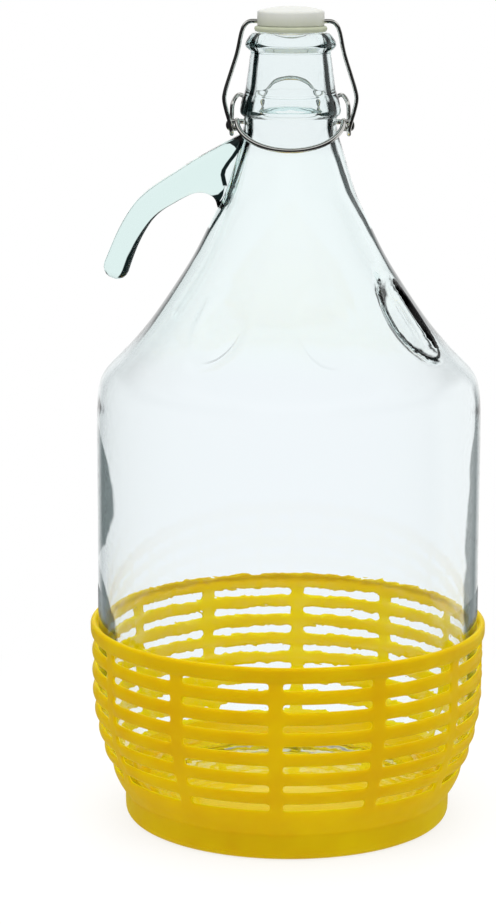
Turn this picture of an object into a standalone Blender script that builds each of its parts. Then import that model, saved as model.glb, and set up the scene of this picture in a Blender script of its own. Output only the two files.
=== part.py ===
# Glass demijohn with a hook handle and a swing stopper, standing in a lattice basket.
#
# Metres, +Z up. The origin lies on the ground below the bottle's axis. The handle points to -X
# and the closing lever lies on the front, -Y. All pieces are drawn closed and at rest.

import math

import bmesh
import bpy
from mathutils import Vector

# Gaps shared by pieces that touch
REST_GAP = 0.0003
BASKET_CLEARANCE = 0.0005
CUT_OVERRUN = 0.002

# Basket
BASKET_WALL = 0.0022
RIM_PROUD = 0.0008
RIM_TOP = 0.0895
RIM_HEIGHT = 0.0072
FOOT_RADIUS = 0.0723
FOOT_HEIGHT = 0.0115
FOOT_EDGE = 0.0045
FOOT_WALL = 0.0066
BOWL_TOP = 0.064
FLOOR_THICKNESS = 0.0025
RIB_COUNT = 12
RIB_WIDTH = 0.006
RIB_TURN_DEG = -3.2
SLOT_ROWS = 7
SLOT_HEIGHT = 0.0032
SLOT_PITCH = 0.0091
RING_ROUND = 0.0006

# Bottle, from its base up
BODY_RADIUS = 0.0840
BODY_WALL = 0.0034
BODY_HEIGHT = 0.1752
SHOULDER_HEIGHT = 0.118
PIN_BAND_HEIGHT = 0.0065
COLLAR_HEIGHT = 0.009
NECK_HEIGHT = 0.0177
LIP_HEIGHT = 0.0086
PIN_BAND_RADIUS = 0.0201
COLLAR_PROUD = 0.0016
NECK_LOW_RADIUS = 0.0198
NECK_TOP_RADIUS = 0.0173
LIP_PROUD = 0.0023
LIP_EDGE = 0.0008
LIP_LAND = 0.0023
MOUTH_CHAMFER = 0.0006
MOUTH_RADIUS = 0.0135
HEEL_RUN = 0.0085
HEEL_RISE = 0.006
PUNT_RADIUS = 0.058
PUNT_RISE = 0.007
BASE_WALL = 0.0045

# Finger recesses in the shoulder
RECESS_TURNS_DEG = (-32.0, 16.0, 64.0)
RECESS_WIDTH = 0.025
RECESS_LENGTH = 0.040
RECESS_DEPTH = 0.0026

# Hook handle
HANDLE_REACH = 0.0752
HANDLE_TOP_DROP = 0.014
HANDLE_DROP = 0.045
HANDLE_THICKNESS = 0.01
HANDLE_WIDTH = 0.013
HANDLE_TIP_RADIUS = 0.0055

# Stopper and gasket
CAP_RADIUS = 0.0144
CAP_SIDE = 0.0065
CAP_DOME = 0.0018
CAP_EDGE = 0.0009
CROSS_BORE_RISE = 0.0019
GASKET_RADIUS = 0.0156
GASKET_FLANGE = 0.0023
GASKET_PLUG_DEPTH = 0.004
GASKET_PLUG_TAPER = 0.001
PLUG_CLEARANCE = 0.0006
STEM_RADIUS = 0.008
BUTTON_RADIUS = 0.0108
BUTTON_HEIGHT = 0.0034

# Closing lever
LEVER_WIRE_RADIUS = 0.0011
PIN_DROP = 0.0027
PIN_DEPTH = 0.0016
PIN_CLEARANCE = 0.0003
CRANK = 0.003
WEB_CLEARANCE = 0.0004
BOW_START_FORWARD = 0.0046
BOW_START_RISE = 0.0009
BOW_REACH = 0.0232
BOW_TILT_DEG = 28.7

# Stopper bail
BAIL_WIRE_RADIUS = 0.00095
BAIL_SIDE_CLEARANCE = 0.00045
HOOK_CLEARANCE = 0.0003
BAIL_END_DEPTH = 0.0049
BAIL_SHOULDER = 0.0048
BAIL_BULGE = 0.0027
HOOP_CLEARANCE = 0.0028
HOOP_ARCH_RISE = 0.0193
HOOP_DIP_RISE = 0.0078

BOTTLE_STEPS = 60
SMALL_STEPS = 40
WINDOW_CELLS = 4
SMOOTH_ANGLE = math.radians(35)

# Places worked out from the sizes above
FLOOR_TOP = FOOT_HEIGHT
BOTTLE_BASE = FLOOR_TOP + REST_GAP
SHOULDER_BASE = BOTTLE_BASE + BODY_HEIGHT
SHOULDER_TOP = SHOULDER_BASE + SHOULDER_HEIGHT
COLLAR_BASE = SHOULDER_TOP + PIN_BAND_HEIGHT
COLLAR_TOP = COLLAR_BASE + COLLAR_HEIGHT
LIP_BASE = COLLAR_TOP + NECK_HEIGHT
LIP_TOP = LIP_BASE + LIP_HEIGHT
COLLAR_RADIUS = PIN_BAND_RADIUS + COLLAR_PROUD
SEAT_RADIUS = BODY_RADIUS + BASKET_CLEARANCE
WALL_RADIUS = SEAT_RADIUS + BASKET_WALL
GASKET_BASE = LIP_TOP + REST_GAP
GASKET_TOP = GASKET_BASE + GASKET_FLANGE
PLUG_BASE = GASKET_BASE - GASKET_PLUG_DEPTH
CAP_BASE = GASKET_TOP + REST_GAP
CAP_TOP = CAP_BASE + CAP_SIDE
CROSS_BORE = CAP_BASE + CROSS_BORE_RISE
PIN_AXIS = COLLAR_BASE - PIN_DROP
CRANK_AXIS = PIN_AXIS - CRANK
WEB_X = COLLAR_RADIUS + WEB_CLEARANCE + LEVER_WIRE_RADIUS
HOOK_X = WEB_X + LEVER_WIRE_RADIUS + BAIL_SIDE_CLEARANCE + BAIL_WIRE_RADIUS
HOOK_RADIUS = LEVER_WIRE_RADIUS + HOOK_CLEARANCE + BAIL_WIRE_RADIUS


def clear_objects():
    for item in list(bpy.data.objects):
        bpy.data.objects.remove(item)


def make_material(name, color, roughness, metallic=0.0, transmission=0.0):
    material = bpy.data.materials.new(name)
    material.use_nodes = True
    shader = material.node_tree.nodes["Principled BSDF"]
    shader.inputs["Base Color"].default_value = (*color, 1.0)
    shader.inputs["Roughness"].default_value = roughness
    shader.inputs["Metallic"].default_value = metallic
    shader.inputs["Transmission Weight"].default_value = transmission
    return material


def add_object(name, mesh, material, origin=(0, 0, 0)):
    item = bpy.data.objects.new(name, mesh)
    item.location = origin
    item.data.materials.append(material)
    bpy.context.collection.objects.link(item)
    return item


def finish_mesh(name, bm):
    """Turn a bmesh into a mesh with outward faces and smooth round sides."""
    bmesh.ops.recalc_face_normals(bm, faces=bm.faces)
    mesh = bpy.data.meshes.new(name)
    bm.to_mesh(mesh)
    bm.free()
    mesh.shade_smooth()
    mesh.set_sharp_from_angle(angle=SMOOTH_ANGLE)
    return mesh


def turned_bmesh(profile, steps):
    """Spin a half section, given as (radius, height) points, all the way round Z."""
    bm = bmesh.new()
    verts = [bm.verts.new((radius, 0, height)) for radius, height in profile]
    closed = profile[0][0] > 0
    pairs = list(zip(verts, verts[1:]))
    if closed:
        pairs.append((verts[-1], verts[0]))
    edges = [bm.edges.new(pair) for pair in pairs]
    bmesh.ops.spin(bm, geom=verts + edges, axis=(0, 0, 1), cent=(0, 0, 0),
                   angle=math.tau, steps=steps, use_merge=True)
    bmesh.ops.remove_doubles(bm, verts=bm.verts, dist=REST_GAP / 100)
    return bm


def add_turned(name, profile, steps, material, origin_height=0.0):
    profile = [(radius, height - origin_height) for radius, height in profile]
    mesh = finish_mesh(name, turned_bmesh(profile, steps))
    return add_object(name, mesh, material, (0, 0, origin_height))


def add_cutter(name, profile, steps):
    cutter = bpy.data.objects.new(name, finish_mesh(name, turned_bmesh(profile, steps)))
    bpy.context.collection.objects.link(cutter)
    return hide_cutter(cutter)


def hide_cutter(cutter):
    cutter.hide_render = True
    cutter.display_type = "WIRE"
    return cutter


def add_pin_cutter(name, radius, start_x, end_x, height):
    """A round cutter lying along X."""
    bm = bmesh.new()
    bmesh.ops.create_cone(bm, cap_ends=True, segments=16, radius1=radius, radius2=radius,
                          depth=end_x - start_x)
    cutter = bpy.data.objects.new(name, finish_mesh(name, bm))
    cutter.rotation_euler = (0, math.radians(90), 0)
    cutter.location = ((start_x + end_x) / 2, 0, height)
    bpy.context.collection.objects.link(cutter)
    return hide_cutter(cutter)


def cut(item, cutter):
    modifier = item.modifiers.new("cut " + cutter.name, "BOOLEAN")
    modifier.operation = "DIFFERENCE"
    modifier.object = cutter


def mix(start, end, share):
    return start + (end - start) * share


def bulge(start, end, proud, skew, count):
    """Points from start to end that swell outward by proud; a skew under 1 lowers the widest place."""
    points = []
    for index in range(count + 1):
        share = index / count
        radius = mix(start[0], end[0], share) + proud * math.sin(math.pi * share ** skew)
        points.append((radius, mix(start[1], end[1], share)))
    return points


def smooth_path(points, per_span):
    """Points along a smooth curve through the given ones (Catmull and Rom's spline)."""
    points = [Vector(point) for point in points]
    ends = [2 * points[0] - points[1]] + points + [2 * points[-1] - points[-2]]
    path = []
    for before, start, end, after in zip(ends, ends[1:], ends[2:], ends[3:]):
        for index in range(per_span):
            share = index / per_span
            path.append(0.5 * (2 * start + (end - before) * share
                               + (2 * before - 5 * start + 4 * end - after) * share ** 2
                               + (3 * start - before - 3 * end + after) * share ** 3))
    path.append(points[-1])
    return path


def inset(points, distance):
    """Move a half section's points square to its line, towards the inside of the body."""
    moved = []
    for index, point in enumerate(points):
        before = points[max(index - 1, 0)]
        after = points[min(index + 1, len(points) - 1)]
        along = Vector((after[0] - before[0], after[1] - before[1])).normalized()
        moved.append((point[0] - along.y * distance, point[1] + along.x * distance))
    return moved


# Basket

# How fast the bowl swells above its waist, where the rim's side ends, and the rows inside the base
BOWL_SHARE = 0.85
RIM_SIDE_SHARE = 0.6
FLOOR_ROW_SHARES = (0.0, 0.3, 0.65)


def bowl_radius(height):
    """Outer radius of the basket's wall, from the waist up to the straight part."""
    share = (height - FOOT_HEIGHT) / (BOWL_TOP - FOOT_HEIGHT)
    share = min(max(share, 0.0), 1.0)
    swell = math.sin(math.pi / 2 * share ** BOWL_SHARE)
    return mix(FOOT_RADIUS, WALL_RADIUS, swell)


def slot_heights():
    """Top and bottom of each row of slots, from the rim down."""
    first = RIM_TOP - RIM_HEIGHT
    tops = [first - row * SLOT_PITCH for row in range(SLOT_ROWS)]
    return [(top, top - SLOT_HEIGHT) for top in tops]


def basket_section():
    """Half section of the basket from the middle of its floor, up inside, over the rim and down
    outside to the middle of its underside, with the places of the slot rows on either side."""
    slots = slot_heights()
    rows = [(0.0, FLOOR_TOP)]
    for share in FLOOR_ROW_SHARES:
        height = mix(FLOOR_TOP, slots[-1][1], share)
        rows.append((bowl_radius(height) - BASKET_WALL, height))
    inner, outer = {}, {}
    for index, (top, bottom) in reversed(list(enumerate(slots))):
        inner[index] = len(rows)
        rows += [(bowl_radius(height) - BASKET_WALL, height) for height in (bottom, top)]
    bead = (WALL_RADIUS + RIM_PROUD - SEAT_RADIUS) / 2
    middle = SEAT_RADIUS + bead
    for angle in (180, 135, 90, 45, 0):
        turn = math.radians(angle)
        rows.append((middle + bead * math.cos(turn), RIM_TOP - bead + bead * math.sin(turn)))
    rows.append((WALL_RADIUS + RIM_PROUD, mix(RIM_TOP, slots[0][0], RIM_SIDE_SHARE)))
    for index, (top, bottom) in enumerate(slots):
        if index:
            height = (slots[index - 1][1] + top) / 2
            rows.append((bowl_radius(height), height))
        outer[index] = len(rows)
        rows += [(bowl_radius(height), height) for height in (top, bottom)]
    height = (slots[-1][1] + FOOT_HEIGHT) / 2
    rows += [(bowl_radius(height), height), (FOOT_RADIUS, FOOT_HEIGHT)]
    for angle in (0, 30, 60, 90):
        turn = math.radians(angle)
        rows.append((FOOT_RADIUS - FOOT_EDGE * (1 - math.cos(turn)), FOOT_EDGE * (1 - math.sin(turn))))
    underside = FLOOR_TOP - FLOOR_THICKNESS
    rows += [(FOOT_RADIUS - FOOT_WALL, 0.0), (FOOT_RADIUS - FOOT_WALL, underside), (0.0, underside)]
    return rows, inner, outer


def basket_columns():
    """Angles of the mesh columns. Each rib takes one cell and each window WINDOW_CELLS cells."""
    sector = math.tau / RIB_COUNT
    rib = RIB_WIDTH / WALL_RADIUS
    first = math.radians(RIB_TURN_DEG - 90)
    angles = []
    for index in range(RIB_COUNT):
        start = first + index * sector + rib / 2
        angles.append(start - rib)
        angles += [start + (sector - rib) * cell / WINDOW_CELLS for cell in range(WINDOW_CELLS)]
    return angles


def build_basket(material):
    rows, inner, outer = basket_section()
    angles = basket_columns()
    per_sector = WINDOW_CELLS + 1
    slot_edges = {row + step for row in outer.values() for step in (0, 1)}
    slot_cells = set(inner.values()) | set(outer.values())
    bm = bmesh.new()
    grid = []
    for row, (radius, height) in enumerate(rows):
        if radius == 0:
            grid.append([bm.verts.new((0, 0, height))] * len(angles))
            continue
        verts = []
        for column, angle in enumerate(angles):
            on_rib = column % per_sector in (0, 1)
            depth = RING_ROUND if row in slot_edges and not on_rib else 0
            reach = radius - depth
            verts.append(bm.verts.new((reach * math.cos(angle), reach * math.sin(angle), height)))
        grid.append(verts)

    def add_face(*corners):
        bm.faces.new(list(dict.fromkeys(corners)))

    count = len(angles)
    for row in range(len(rows) - 1):
        for column in range(count):
            if row in slot_cells and column % per_sector:
                continue
            after = (column + 1) % count
            add_face(grid[row][column], grid[row][after], grid[row + 1][after], grid[row + 1][column])
    # The sides of each slot join the wall's two faces
    for index in range(SLOT_ROWS):
        low_in, high_in = inner[index], inner[index] + 1
        high_out, low_out = outer[index], outer[index] + 1
        for column in range(count):
            after = (column + 1) % count
            if column % per_sector:
                add_face(grid[high_in][column], grid[high_in][after],
                         grid[high_out][after], grid[high_out][column])
                add_face(grid[low_in][column], grid[low_in][after],
                         grid[low_out][after], grid[low_out][column])
            if column % per_sector in (0, 1):
                add_face(grid[low_in][column], grid[high_in][column],
                         grid[high_out][column], grid[low_out][column])
    return add_object("basket", finish_mesh("basket", bm), material)


# Bottle

# The shoulder's outline, from the neck down: shares of its run outward and of its height
SHOULDER_SHARES = ((0.0, 0.0), (0.03, 0.05), (0.085, 0.15), (0.135, 0.235), (0.20, 0.31),
                   (0.335, 0.455), (0.47, 0.575), (0.58, 0.66), (0.64, 0.705), (0.716, 0.755),
                   (0.79, 0.80), (0.90, 0.86), (0.965, 0.905), (1.0, 1.0))
# The punt's outline from the middle out, as shares of its radius and rise
PUNT_SHARES = ((0.0, 1.0), (0.55, 0.75), (1.0, 0.0))
# One point on the heel's round edge, and the rows where the body rests in the basket's bowl
HEEL_OUT_SHARE = 0.6
HEEL_UP_SHARE = 0.36
SEAT_SHARES = (0.0, 0.14, 0.32, 0.55, 1.0)
# Where the collar and the lip are widest, and how the bore runs out into the shoulder
COLLAR_WIDE_SHARE = 0.85
LIP_WIDE_SHARE = 0.8
BORE_OUT_SHARE = 0.5
BORE_DOWN_SHARE = 0.6
# The floor inside, from its edge to its middle, as shares of the punt's radius and rise
INNER_FLOOR_SHARES = ((0.9, 0.15), (0.5, 0.8), (0.0, 1.0))
INNER_HEEL_SHARE = 0.25


def shoulder_points():
    run = BODY_RADIUS - PIN_BAND_RADIUS
    return [(PIN_BAND_RADIUS + run * out, SHOULDER_TOP - SHOULDER_HEIGHT * down)
            for out, down in SHOULDER_SHARES]


def heel_points():
    """Outside of the bottle's lower end, from its base up, where it follows the basket's bowl."""
    seat = BASKET_WALL + BASKET_CLEARANCE
    turn = BOTTLE_BASE + HEEL_RISE
    turn_radius = bowl_radius(turn) - seat
    points = [(turn_radius - HEEL_RUN, BOTTLE_BASE),
              (turn_radius - HEEL_RUN * (1 - HEEL_OUT_SHARE), BOTTLE_BASE + HEEL_RISE * HEEL_UP_SHARE)]
    for share in SEAT_SHARES:
        height = mix(turn, BOWL_TOP, share)
        points.append((bowl_radius(height) - seat, height))
    return points


def bottle_section():
    """Half section of the glass, from the middle of the base, up outside and down inside."""
    heel = heel_points()
    shoulder = shoulder_points()[::-1]
    neck_low = (NECK_LOW_RADIUS, COLLAR_TOP)
    neck_top = (NECK_TOP_RADIUS, LIP_BASE)
    outside = [(PUNT_RADIUS * out, BOTTLE_BASE + PUNT_RISE * up) for out, up in PUNT_SHARES]
    outside += heel + shoulder
    outside += bulge((PIN_BAND_RADIUS, COLLAR_BASE), neck_low, COLLAR_PROUD,
                     COLLAR_WIDE_SHARE, 6)
    outside += bulge(neck_top, (NECK_TOP_RADIUS, LIP_TOP - LIP_EDGE), LIP_PROUD,
                     LIP_WIDE_SHARE, 6)
    land = MOUTH_RADIUS + MOUTH_CHAMFER
    outside += [(land + LIP_LAND, LIP_TOP), (land, LIP_TOP),
                (MOUTH_RADIUS, LIP_TOP - MOUTH_CHAMFER)]
    inner_shoulder = inset(shoulder, BODY_WALL)[:-3]
    inner_heel = inset(heel, BODY_WALL)[3:]
    inside = [(MOUTH_RADIUS, COLLAR_TOP),
              (mix(MOUTH_RADIUS, inner_shoulder[-1][0], BORE_OUT_SHARE),
               mix(COLLAR_TOP, inner_shoulder[-1][1], BORE_DOWN_SHARE))]
    inside += inner_shoulder[::-1] + inner_heel[::-1]
    inner_floor = BOTTLE_BASE + BASE_WALL
    inside.append((PUNT_RADIUS + BASE_WALL, inner_floor + HEEL_RISE * INNER_HEEL_SHARE))
    inside += [(PUNT_RADIUS * out, inner_floor + PUNT_RISE * up) for out, up in INNER_FLOOR_SHARES]
    return outside + inside


def recess_places():
    """Centre of each finger recess, with the directions across and along it and into the glass."""
    shoulder = shoulder_points()
    upper, lower = shoulder[6], shoulder[8]
    centre_radius, centre_height = shoulder[7]
    slope = math.atan2(upper[1] - lower[1], lower[0] - upper[0])
    places = []
    for turn_deg in RECESS_TURNS_DEG:
        turn = math.radians(turn_deg - 90)
        outward = Vector((math.cos(turn), math.sin(turn), 0))
        centre = outward * centre_radius + Vector((0, 0, centre_height))
        across = Vector((-math.sin(turn), math.cos(turn), 0))
        along = outward * math.cos(slope) - Vector((0, 0, math.sin(slope)))
        into = -outward * math.sin(slope) - Vector((0, 0, math.cos(slope)))
        places.append((centre, across, along, into))
    return places


def press_recesses(bm):
    """Push the shoulder's glass inward in each oval, inside and outside alike."""
    for centre, across, along, into in recess_places():
        for vert in bm.verts:
            offset = vert.co - centre
            if abs(offset.dot(into)) > RECESS_WIDTH / 2:
                continue
            reach = (offset.dot(across) / (RECESS_WIDTH / 2)) ** 2
            reach += (offset.dot(along) / (RECESS_LENGTH / 2)) ** 2
            if reach < 1:
                vert.co += into * RECESS_DEPTH * (1 - reach)


def build_bottle(material):
    bm = turned_bmesh(bottle_section(), BOTTLE_STEPS)
    press_recesses(bm)
    bottle = add_object("glass_bottle", finish_mesh("glass_bottle", bm), material)
    floor = PIN_BAND_RADIUS - PIN_DEPTH
    end = PIN_BAND_RADIUS + CUT_OVERRUN
    radius = LEVER_WIRE_RADIUS + PIN_CLEARANCE
    cut(bottle, add_pin_cutter("right_dimple", radius, floor, end, PIN_AXIS))
    cut(bottle, add_pin_cutter("left_dimple", radius, -end, -floor, PIN_AXIS))
    return bottle


# Handle

# The hook's middle line, from inside the neck out to the tip, as shares of its reach and of its
# drop, with the half thickness there as a share of the arm's
HANDLE_SHARES = ((0.16, 0.0, 2.6), (0.266, 0.056, 2.6), (0.412, 0.111, 2.1),
                 (0.499, 0.12, 1.44), (0.598, 0.182, 1.2), (0.691, 0.264, 1.06),
                 (0.778, 0.347, 1.0), (0.835, 0.438, 0.98), (0.886, 0.564, 0.98),
                 (0.934, 0.711, 1.0), (0.968, 0.849, 1.03), (1.0, 1.0, 1.1))
HANDLE_SIDES = 12


def handle_stations():
    """Middle points and half sizes of the sections along the hook, with its round tip."""
    top = SHOULDER_TOP - HANDLE_TOP_DROP
    route = [(-HANDLE_REACH * out, 0, top - HANDLE_DROP * down) for out, down, _ in HANDLE_SHARES]
    sizes = [(half * HANDLE_THICKNESS / 2, 0, 0) for _, _, half in HANDLE_SHARES]
    middles = smooth_path(route, 2)
    halves = [size.x for size in smooth_path(sizes, 2)]
    tip = middles[-1]
    direction = (middles[-1] - middles[-2]).normalized()
    for angle in (30, 55, 75):
        turn = math.radians(angle)
        middles.append(tip + direction * HANDLE_TIP_RADIUS * math.sin(turn))
        halves.append(HANDLE_TIP_RADIUS * math.cos(turn))
    return middles, halves


def build_handle(material):
    middles, halves = handle_stations()
    bm = bmesh.new()
    loops = []
    for index, (middle, half) in enumerate(zip(middles, halves)):
        before = middles[max(index - 1, 0)]
        after = middles[min(index + 1, len(middles) - 1)]
        along = (after - before).normalized()
        up = along.cross(Vector((0, 1, 0)))
        half_width = HANDLE_WIDTH / 2 * min(half / (HANDLE_THICKNESS / 2), 1.0)
        loop = []
        for side in range(HANDLE_SIDES):
            turn = math.tau * side / HANDLE_SIDES
            offset = up * half * math.cos(turn) + Vector((0, 1, 0)) * half_width * math.sin(turn)
            loop.append(bm.verts.new(middle + offset))
        loops.append(loop)
    for lower, upper in zip(loops, loops[1:]):
        for side in range(HANDLE_SIDES):
            after = (side + 1) % HANDLE_SIDES
            bm.faces.new((lower[side], lower[after], upper[after], upper[side]))
    bm.faces.new(loops[0])
    bm.faces.new(loops[-1])
    handle = add_object("glass_handle", finish_mesh("glass_handle", bm), material)
    outline = [(radius + REST_GAP, height) for radius, height in shoulder_points()]
    top = (PIN_BAND_RADIUS + REST_GAP, COLLAR_BASE)
    profile = [(0.0, COLLAR_BASE), top] + outline + [(0.0, outline[-1][1])]
    cut(handle, add_cutter("handle_root_cutter", profile, BOTTLE_STEPS))
    return handle


# Stopper

# The button's lower edge, the cap's dome from its rim in, and the gasket flange's upper edge
BUTTON_OUT_SHARE = 0.85
BUTTON_UP_SHARE = 0.4
DOME_SHARES = (0.7, 0.4, 0.0)
FLANGE_EDGE_SHARE = 0.25


def build_stopper(material):
    """Cap, stem and button in one piece. The bail's two ends turn in its cross bore."""
    button_top = PLUG_BASE - REST_GAP
    button_base = button_top - BUTTON_HEIGHT
    profile = [(0.0, button_base), (BUTTON_RADIUS * BUTTON_OUT_SHARE, button_base),
               (BUTTON_RADIUS, button_base + BUTTON_HEIGHT * BUTTON_UP_SHARE),
               (BUTTON_RADIUS, button_top),
               (STEM_RADIUS, button_top), (STEM_RADIUS, CAP_BASE), (CAP_RADIUS, CAP_BASE)]
    for angle in (0, 45, 90):
        turn = math.radians(angle)
        profile.append((CAP_RADIUS - CAP_EDGE * (1 - math.cos(turn)),
                        CAP_TOP - CAP_EDGE * (1 - math.sin(turn))))
    for share in DOME_SHARES:
        profile.append((CAP_RADIUS * share, CAP_TOP + CAP_DOME * (1 - share ** 2)))
    head = add_turned("stopper_head", profile, SMALL_STEPS, material, CROSS_BORE)
    reach = CAP_RADIUS + CUT_OVERRUN
    radius = BAIL_WIRE_RADIUS + REST_GAP
    cut(head, add_pin_cutter("cross_bore", radius, -reach, reach, CROSS_BORE))
    return head


def build_gasket(material):
    hole = STEM_RADIUS + REST_GAP
    plug = MOUTH_RADIUS - PLUG_CLEARANCE
    profile = [(hole, PLUG_BASE), (plug - GASKET_PLUG_TAPER, PLUG_BASE), (plug, GASKET_BASE),
               (GASKET_RADIUS - GASKET_PLUG_TAPER, GASKET_BASE),
               (GASKET_RADIUS, GASKET_TOP - GASKET_FLANGE * FLANGE_EDGE_SHARE),
               (GASKET_RADIUS, GASKET_TOP), (hole, GASKET_TOP)]
    return add_turned("stopper_gasket", profile, SMALL_STEPS, material, CROSS_BORE)


# Wires

# The lever's web from the hairpin up to the bow, as shares of its way forward and up
WEB_SHARES = ((0.35, 0.08), (0.68, 0.36), (0.86, 0.7))
# The bail's arm from the cap down to the hook, as shares of its way out, forward and up
ARM_SHARES = ((-0.068, 0.0, 0.987), (0.13, 0.05, 0.935), (0.4, 0.2, 0.703), (0.7, 0.5, 0.513),
              (0.95, 0.8, 0.35), (1.0, 0.9, 0.28), (0.888, 1.0, 0.168), (0.759, 1.0, 0.08))
# The bail's way back up behind the hairpin, as shares of the hairpin's reach
RETURN_SHARES = ((0.64, -0.22), (0.96, 0.12), (1.1, 0.55), (1.19, 1.2))
# The hoop behind the neck: shares of a quarter turn, of its radius, and of the way up its arch
HOOP_SHARES = ((0.161, 1.01, 0.2), (0.267, 0.975, 0.5), (0.4, 0.97, 0.4), (0.54, 0.99, 0.0),
               (0.6, 1.0, 0.25), (0.66, 1.0, 0.56), (0.75, 1.0, 0.82), (0.87, 1.0, 0.96),
               (1.0, 1.0, 1.0))


def add_wire(name, points, radius, material, origin):
    """A round wire along the given world points, with its origin on its joint's axis."""
    curve = bpy.data.curves.new(name, "CURVE")
    curve.dimensions = "3D"
    curve.bevel_depth = radius
    curve.bevel_resolution = 2
    curve.use_fill_caps = True
    spline = curve.splines.new("POLY")
    spline.points.add(len(points) - 1)
    for slot, point in zip(spline.points, points):
        slot.co = (*(Vector(point) - Vector(origin)), 1.0)
    return add_object(name, curve, material, origin)


def mirrored(points):
    return [(-x, y, z) for x, y, z in points]


def arc_yz(x, centre_y, centre_z, radius, start_deg, end_deg, count):
    """Points of an arc in the plane square to X, with 0 degrees at +Y and 90 at +Z."""
    points = []
    for index in range(count + 1):
        turn = math.radians(mix(start_deg, end_deg, index / count))
        points.append((x, centre_y + radius * math.cos(turn), centre_z + radius * math.sin(turn)))
    return points


def lever_side():
    """One side of the lever: pin, hairpin through the bail's hook, and the web up to the bow."""
    tip = PIN_BAND_RADIUS - PIN_DEPTH + REST_GAP
    turn_x = HOOK_X + LEVER_WIRE_RADIUS / 2
    points = [(tip, 0, PIN_AXIS), (turn_x, 0, PIN_AXIS)]
    for angle in (60, 0, -60):
        turn = math.radians(angle)
        points.append((turn_x + CRANK / 2 * math.cos(turn), 0,
                       PIN_AXIS - CRANK / 2 * (1 - math.sin(turn))))
    points += [(turn_x, 0, CRANK_AXIS), (WEB_X + LEVER_WIRE_RADIUS, 0, CRANK_AXIS)]
    forward, rise = BOW_START_FORWARD, CRANK + BOW_START_RISE
    for out, up in WEB_SHARES:
        points.append((WEB_X, -forward * out, CRANK_AXIS + rise * up))
    return points


def bow_points():
    """The bow, half a circle between its two starts, which slopes down to the front."""
    tilt = math.radians(BOW_TILT_DEG)
    count = 20
    points = []
    for index in range(count + 1):
        turn = math.pi * index / count
        reach = BOW_REACH * math.sin(turn)
        points.append((WEB_X * math.cos(turn), -BOW_START_FORWARD - reach * math.cos(tilt),
                       PIN_AXIS + BOW_START_RISE - reach * math.sin(tilt)))
    return points


def build_lever(material):
    side = lever_side()
    points = side[:1] + smooth_path(side[1:], 2) + bow_points()
    points += mirrored(smooth_path(side[1:], 2))[::-1] + mirrored(side[:1])
    return add_wire("lever_wire", points, LEVER_WIRE_RADIUS, material, (0, 0, PIN_AXIS))


def bail_side():
    """One side of the bail: end in the stopper, arm, hook round the lever and rear hoop's half."""
    start = CAP_RADIUS - BAIL_END_DEPTH
    shoulder = CAP_RADIUS + BAIL_SHOULDER
    front = -HOOK_RADIUS
    bulge_x = HOOK_X + BAIL_BULGE
    arm = CROSS_BORE - CRANK_AXIS
    points = [(start, 0, CROSS_BORE), (CAP_RADIUS + REST_GAP, 0, CROSS_BORE)]
    for out, ahead, up in ARM_SHARES:
        points.append((mix(shoulder, bulge_x, out), front * ahead, CRANK_AXIS + arm * up))
    points += arc_yz(HOOK_X, 0, CRANK_AXIS, HOOK_RADIUS, 180, 295, 5)
    # The way back up stays clear of the lever's hairpin, which turns inside the hook
    orbit = CRANK + LEVER_WIRE_RADIUS + BAIL_WIRE_RADIUS
    for out, up in RETURN_SHARES:
        points.append((HOOK_X, orbit * out, CRANK_AXIS + orbit * up))
    hoop = COLLAR_RADIUS + BAIL_WIRE_RADIUS + HOOP_CLEARANCE
    dip = CRANK_AXIS + HOOP_DIP_RISE
    arch = CRANK_AXIS + HOOP_ARCH_RISE
    for quarter, reach, up in HOOP_SHARES:
        turn = math.pi / 2 * quarter
        points.append((hoop * reach * math.cos(turn), hoop * reach * math.sin(turn), mix(dip, arch, up)))
    return points


def build_bail(material):
    side = bail_side()
    half = side[:1] + smooth_path(side[1:], 2)
    points = half + mirrored(half[:-1])[::-1]
    return add_wire("stopper_bail", points, BAIL_WIRE_RADIUS, material, (0, 0, CRANK_AXIS))


def build():
    clear_objects()
    yellow = make_material("basket_yellow", (0.82, 0.62, 0.01), 0.42)
    glass = make_material("clear_glass", (0.86, 0.95, 0.93), 0.03, transmission=1.0)
    white = make_material("stopper_white", (0.86, 0.86, 0.82), 0.35)
    cream = make_material("gasket_cream", (0.72, 0.74, 0.58), 0.6)
    steel = make_material("wire_steel", (0.62, 0.62, 0.6), 0.25, metallic=1.0)
    build_basket(yellow)
    build_bottle(glass)
    build_handle(glass)
    build_stopper(white)
    build_gasket(cream)
    build_lever(steel)
    build_bail(steel)


build()
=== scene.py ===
# %% [markdown]
# # A glass demijohn in a lattice basket
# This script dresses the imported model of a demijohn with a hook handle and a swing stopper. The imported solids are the
# fixed frame. Each visible piece is built here again with a finer shape and its finish, exactly where its solid is.
#
# Lengths are in metres, and the outlines of pieces are written in millimetres. The origin is on the ground under the
# bottle's axis. +Z is up, the closing lever is at the front, which is -Y, and the handle is at the left, which is -X.

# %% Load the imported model
import math

import bmesh
import bpy
import numpy as np
from mathutils import Matrix, Vector


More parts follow.
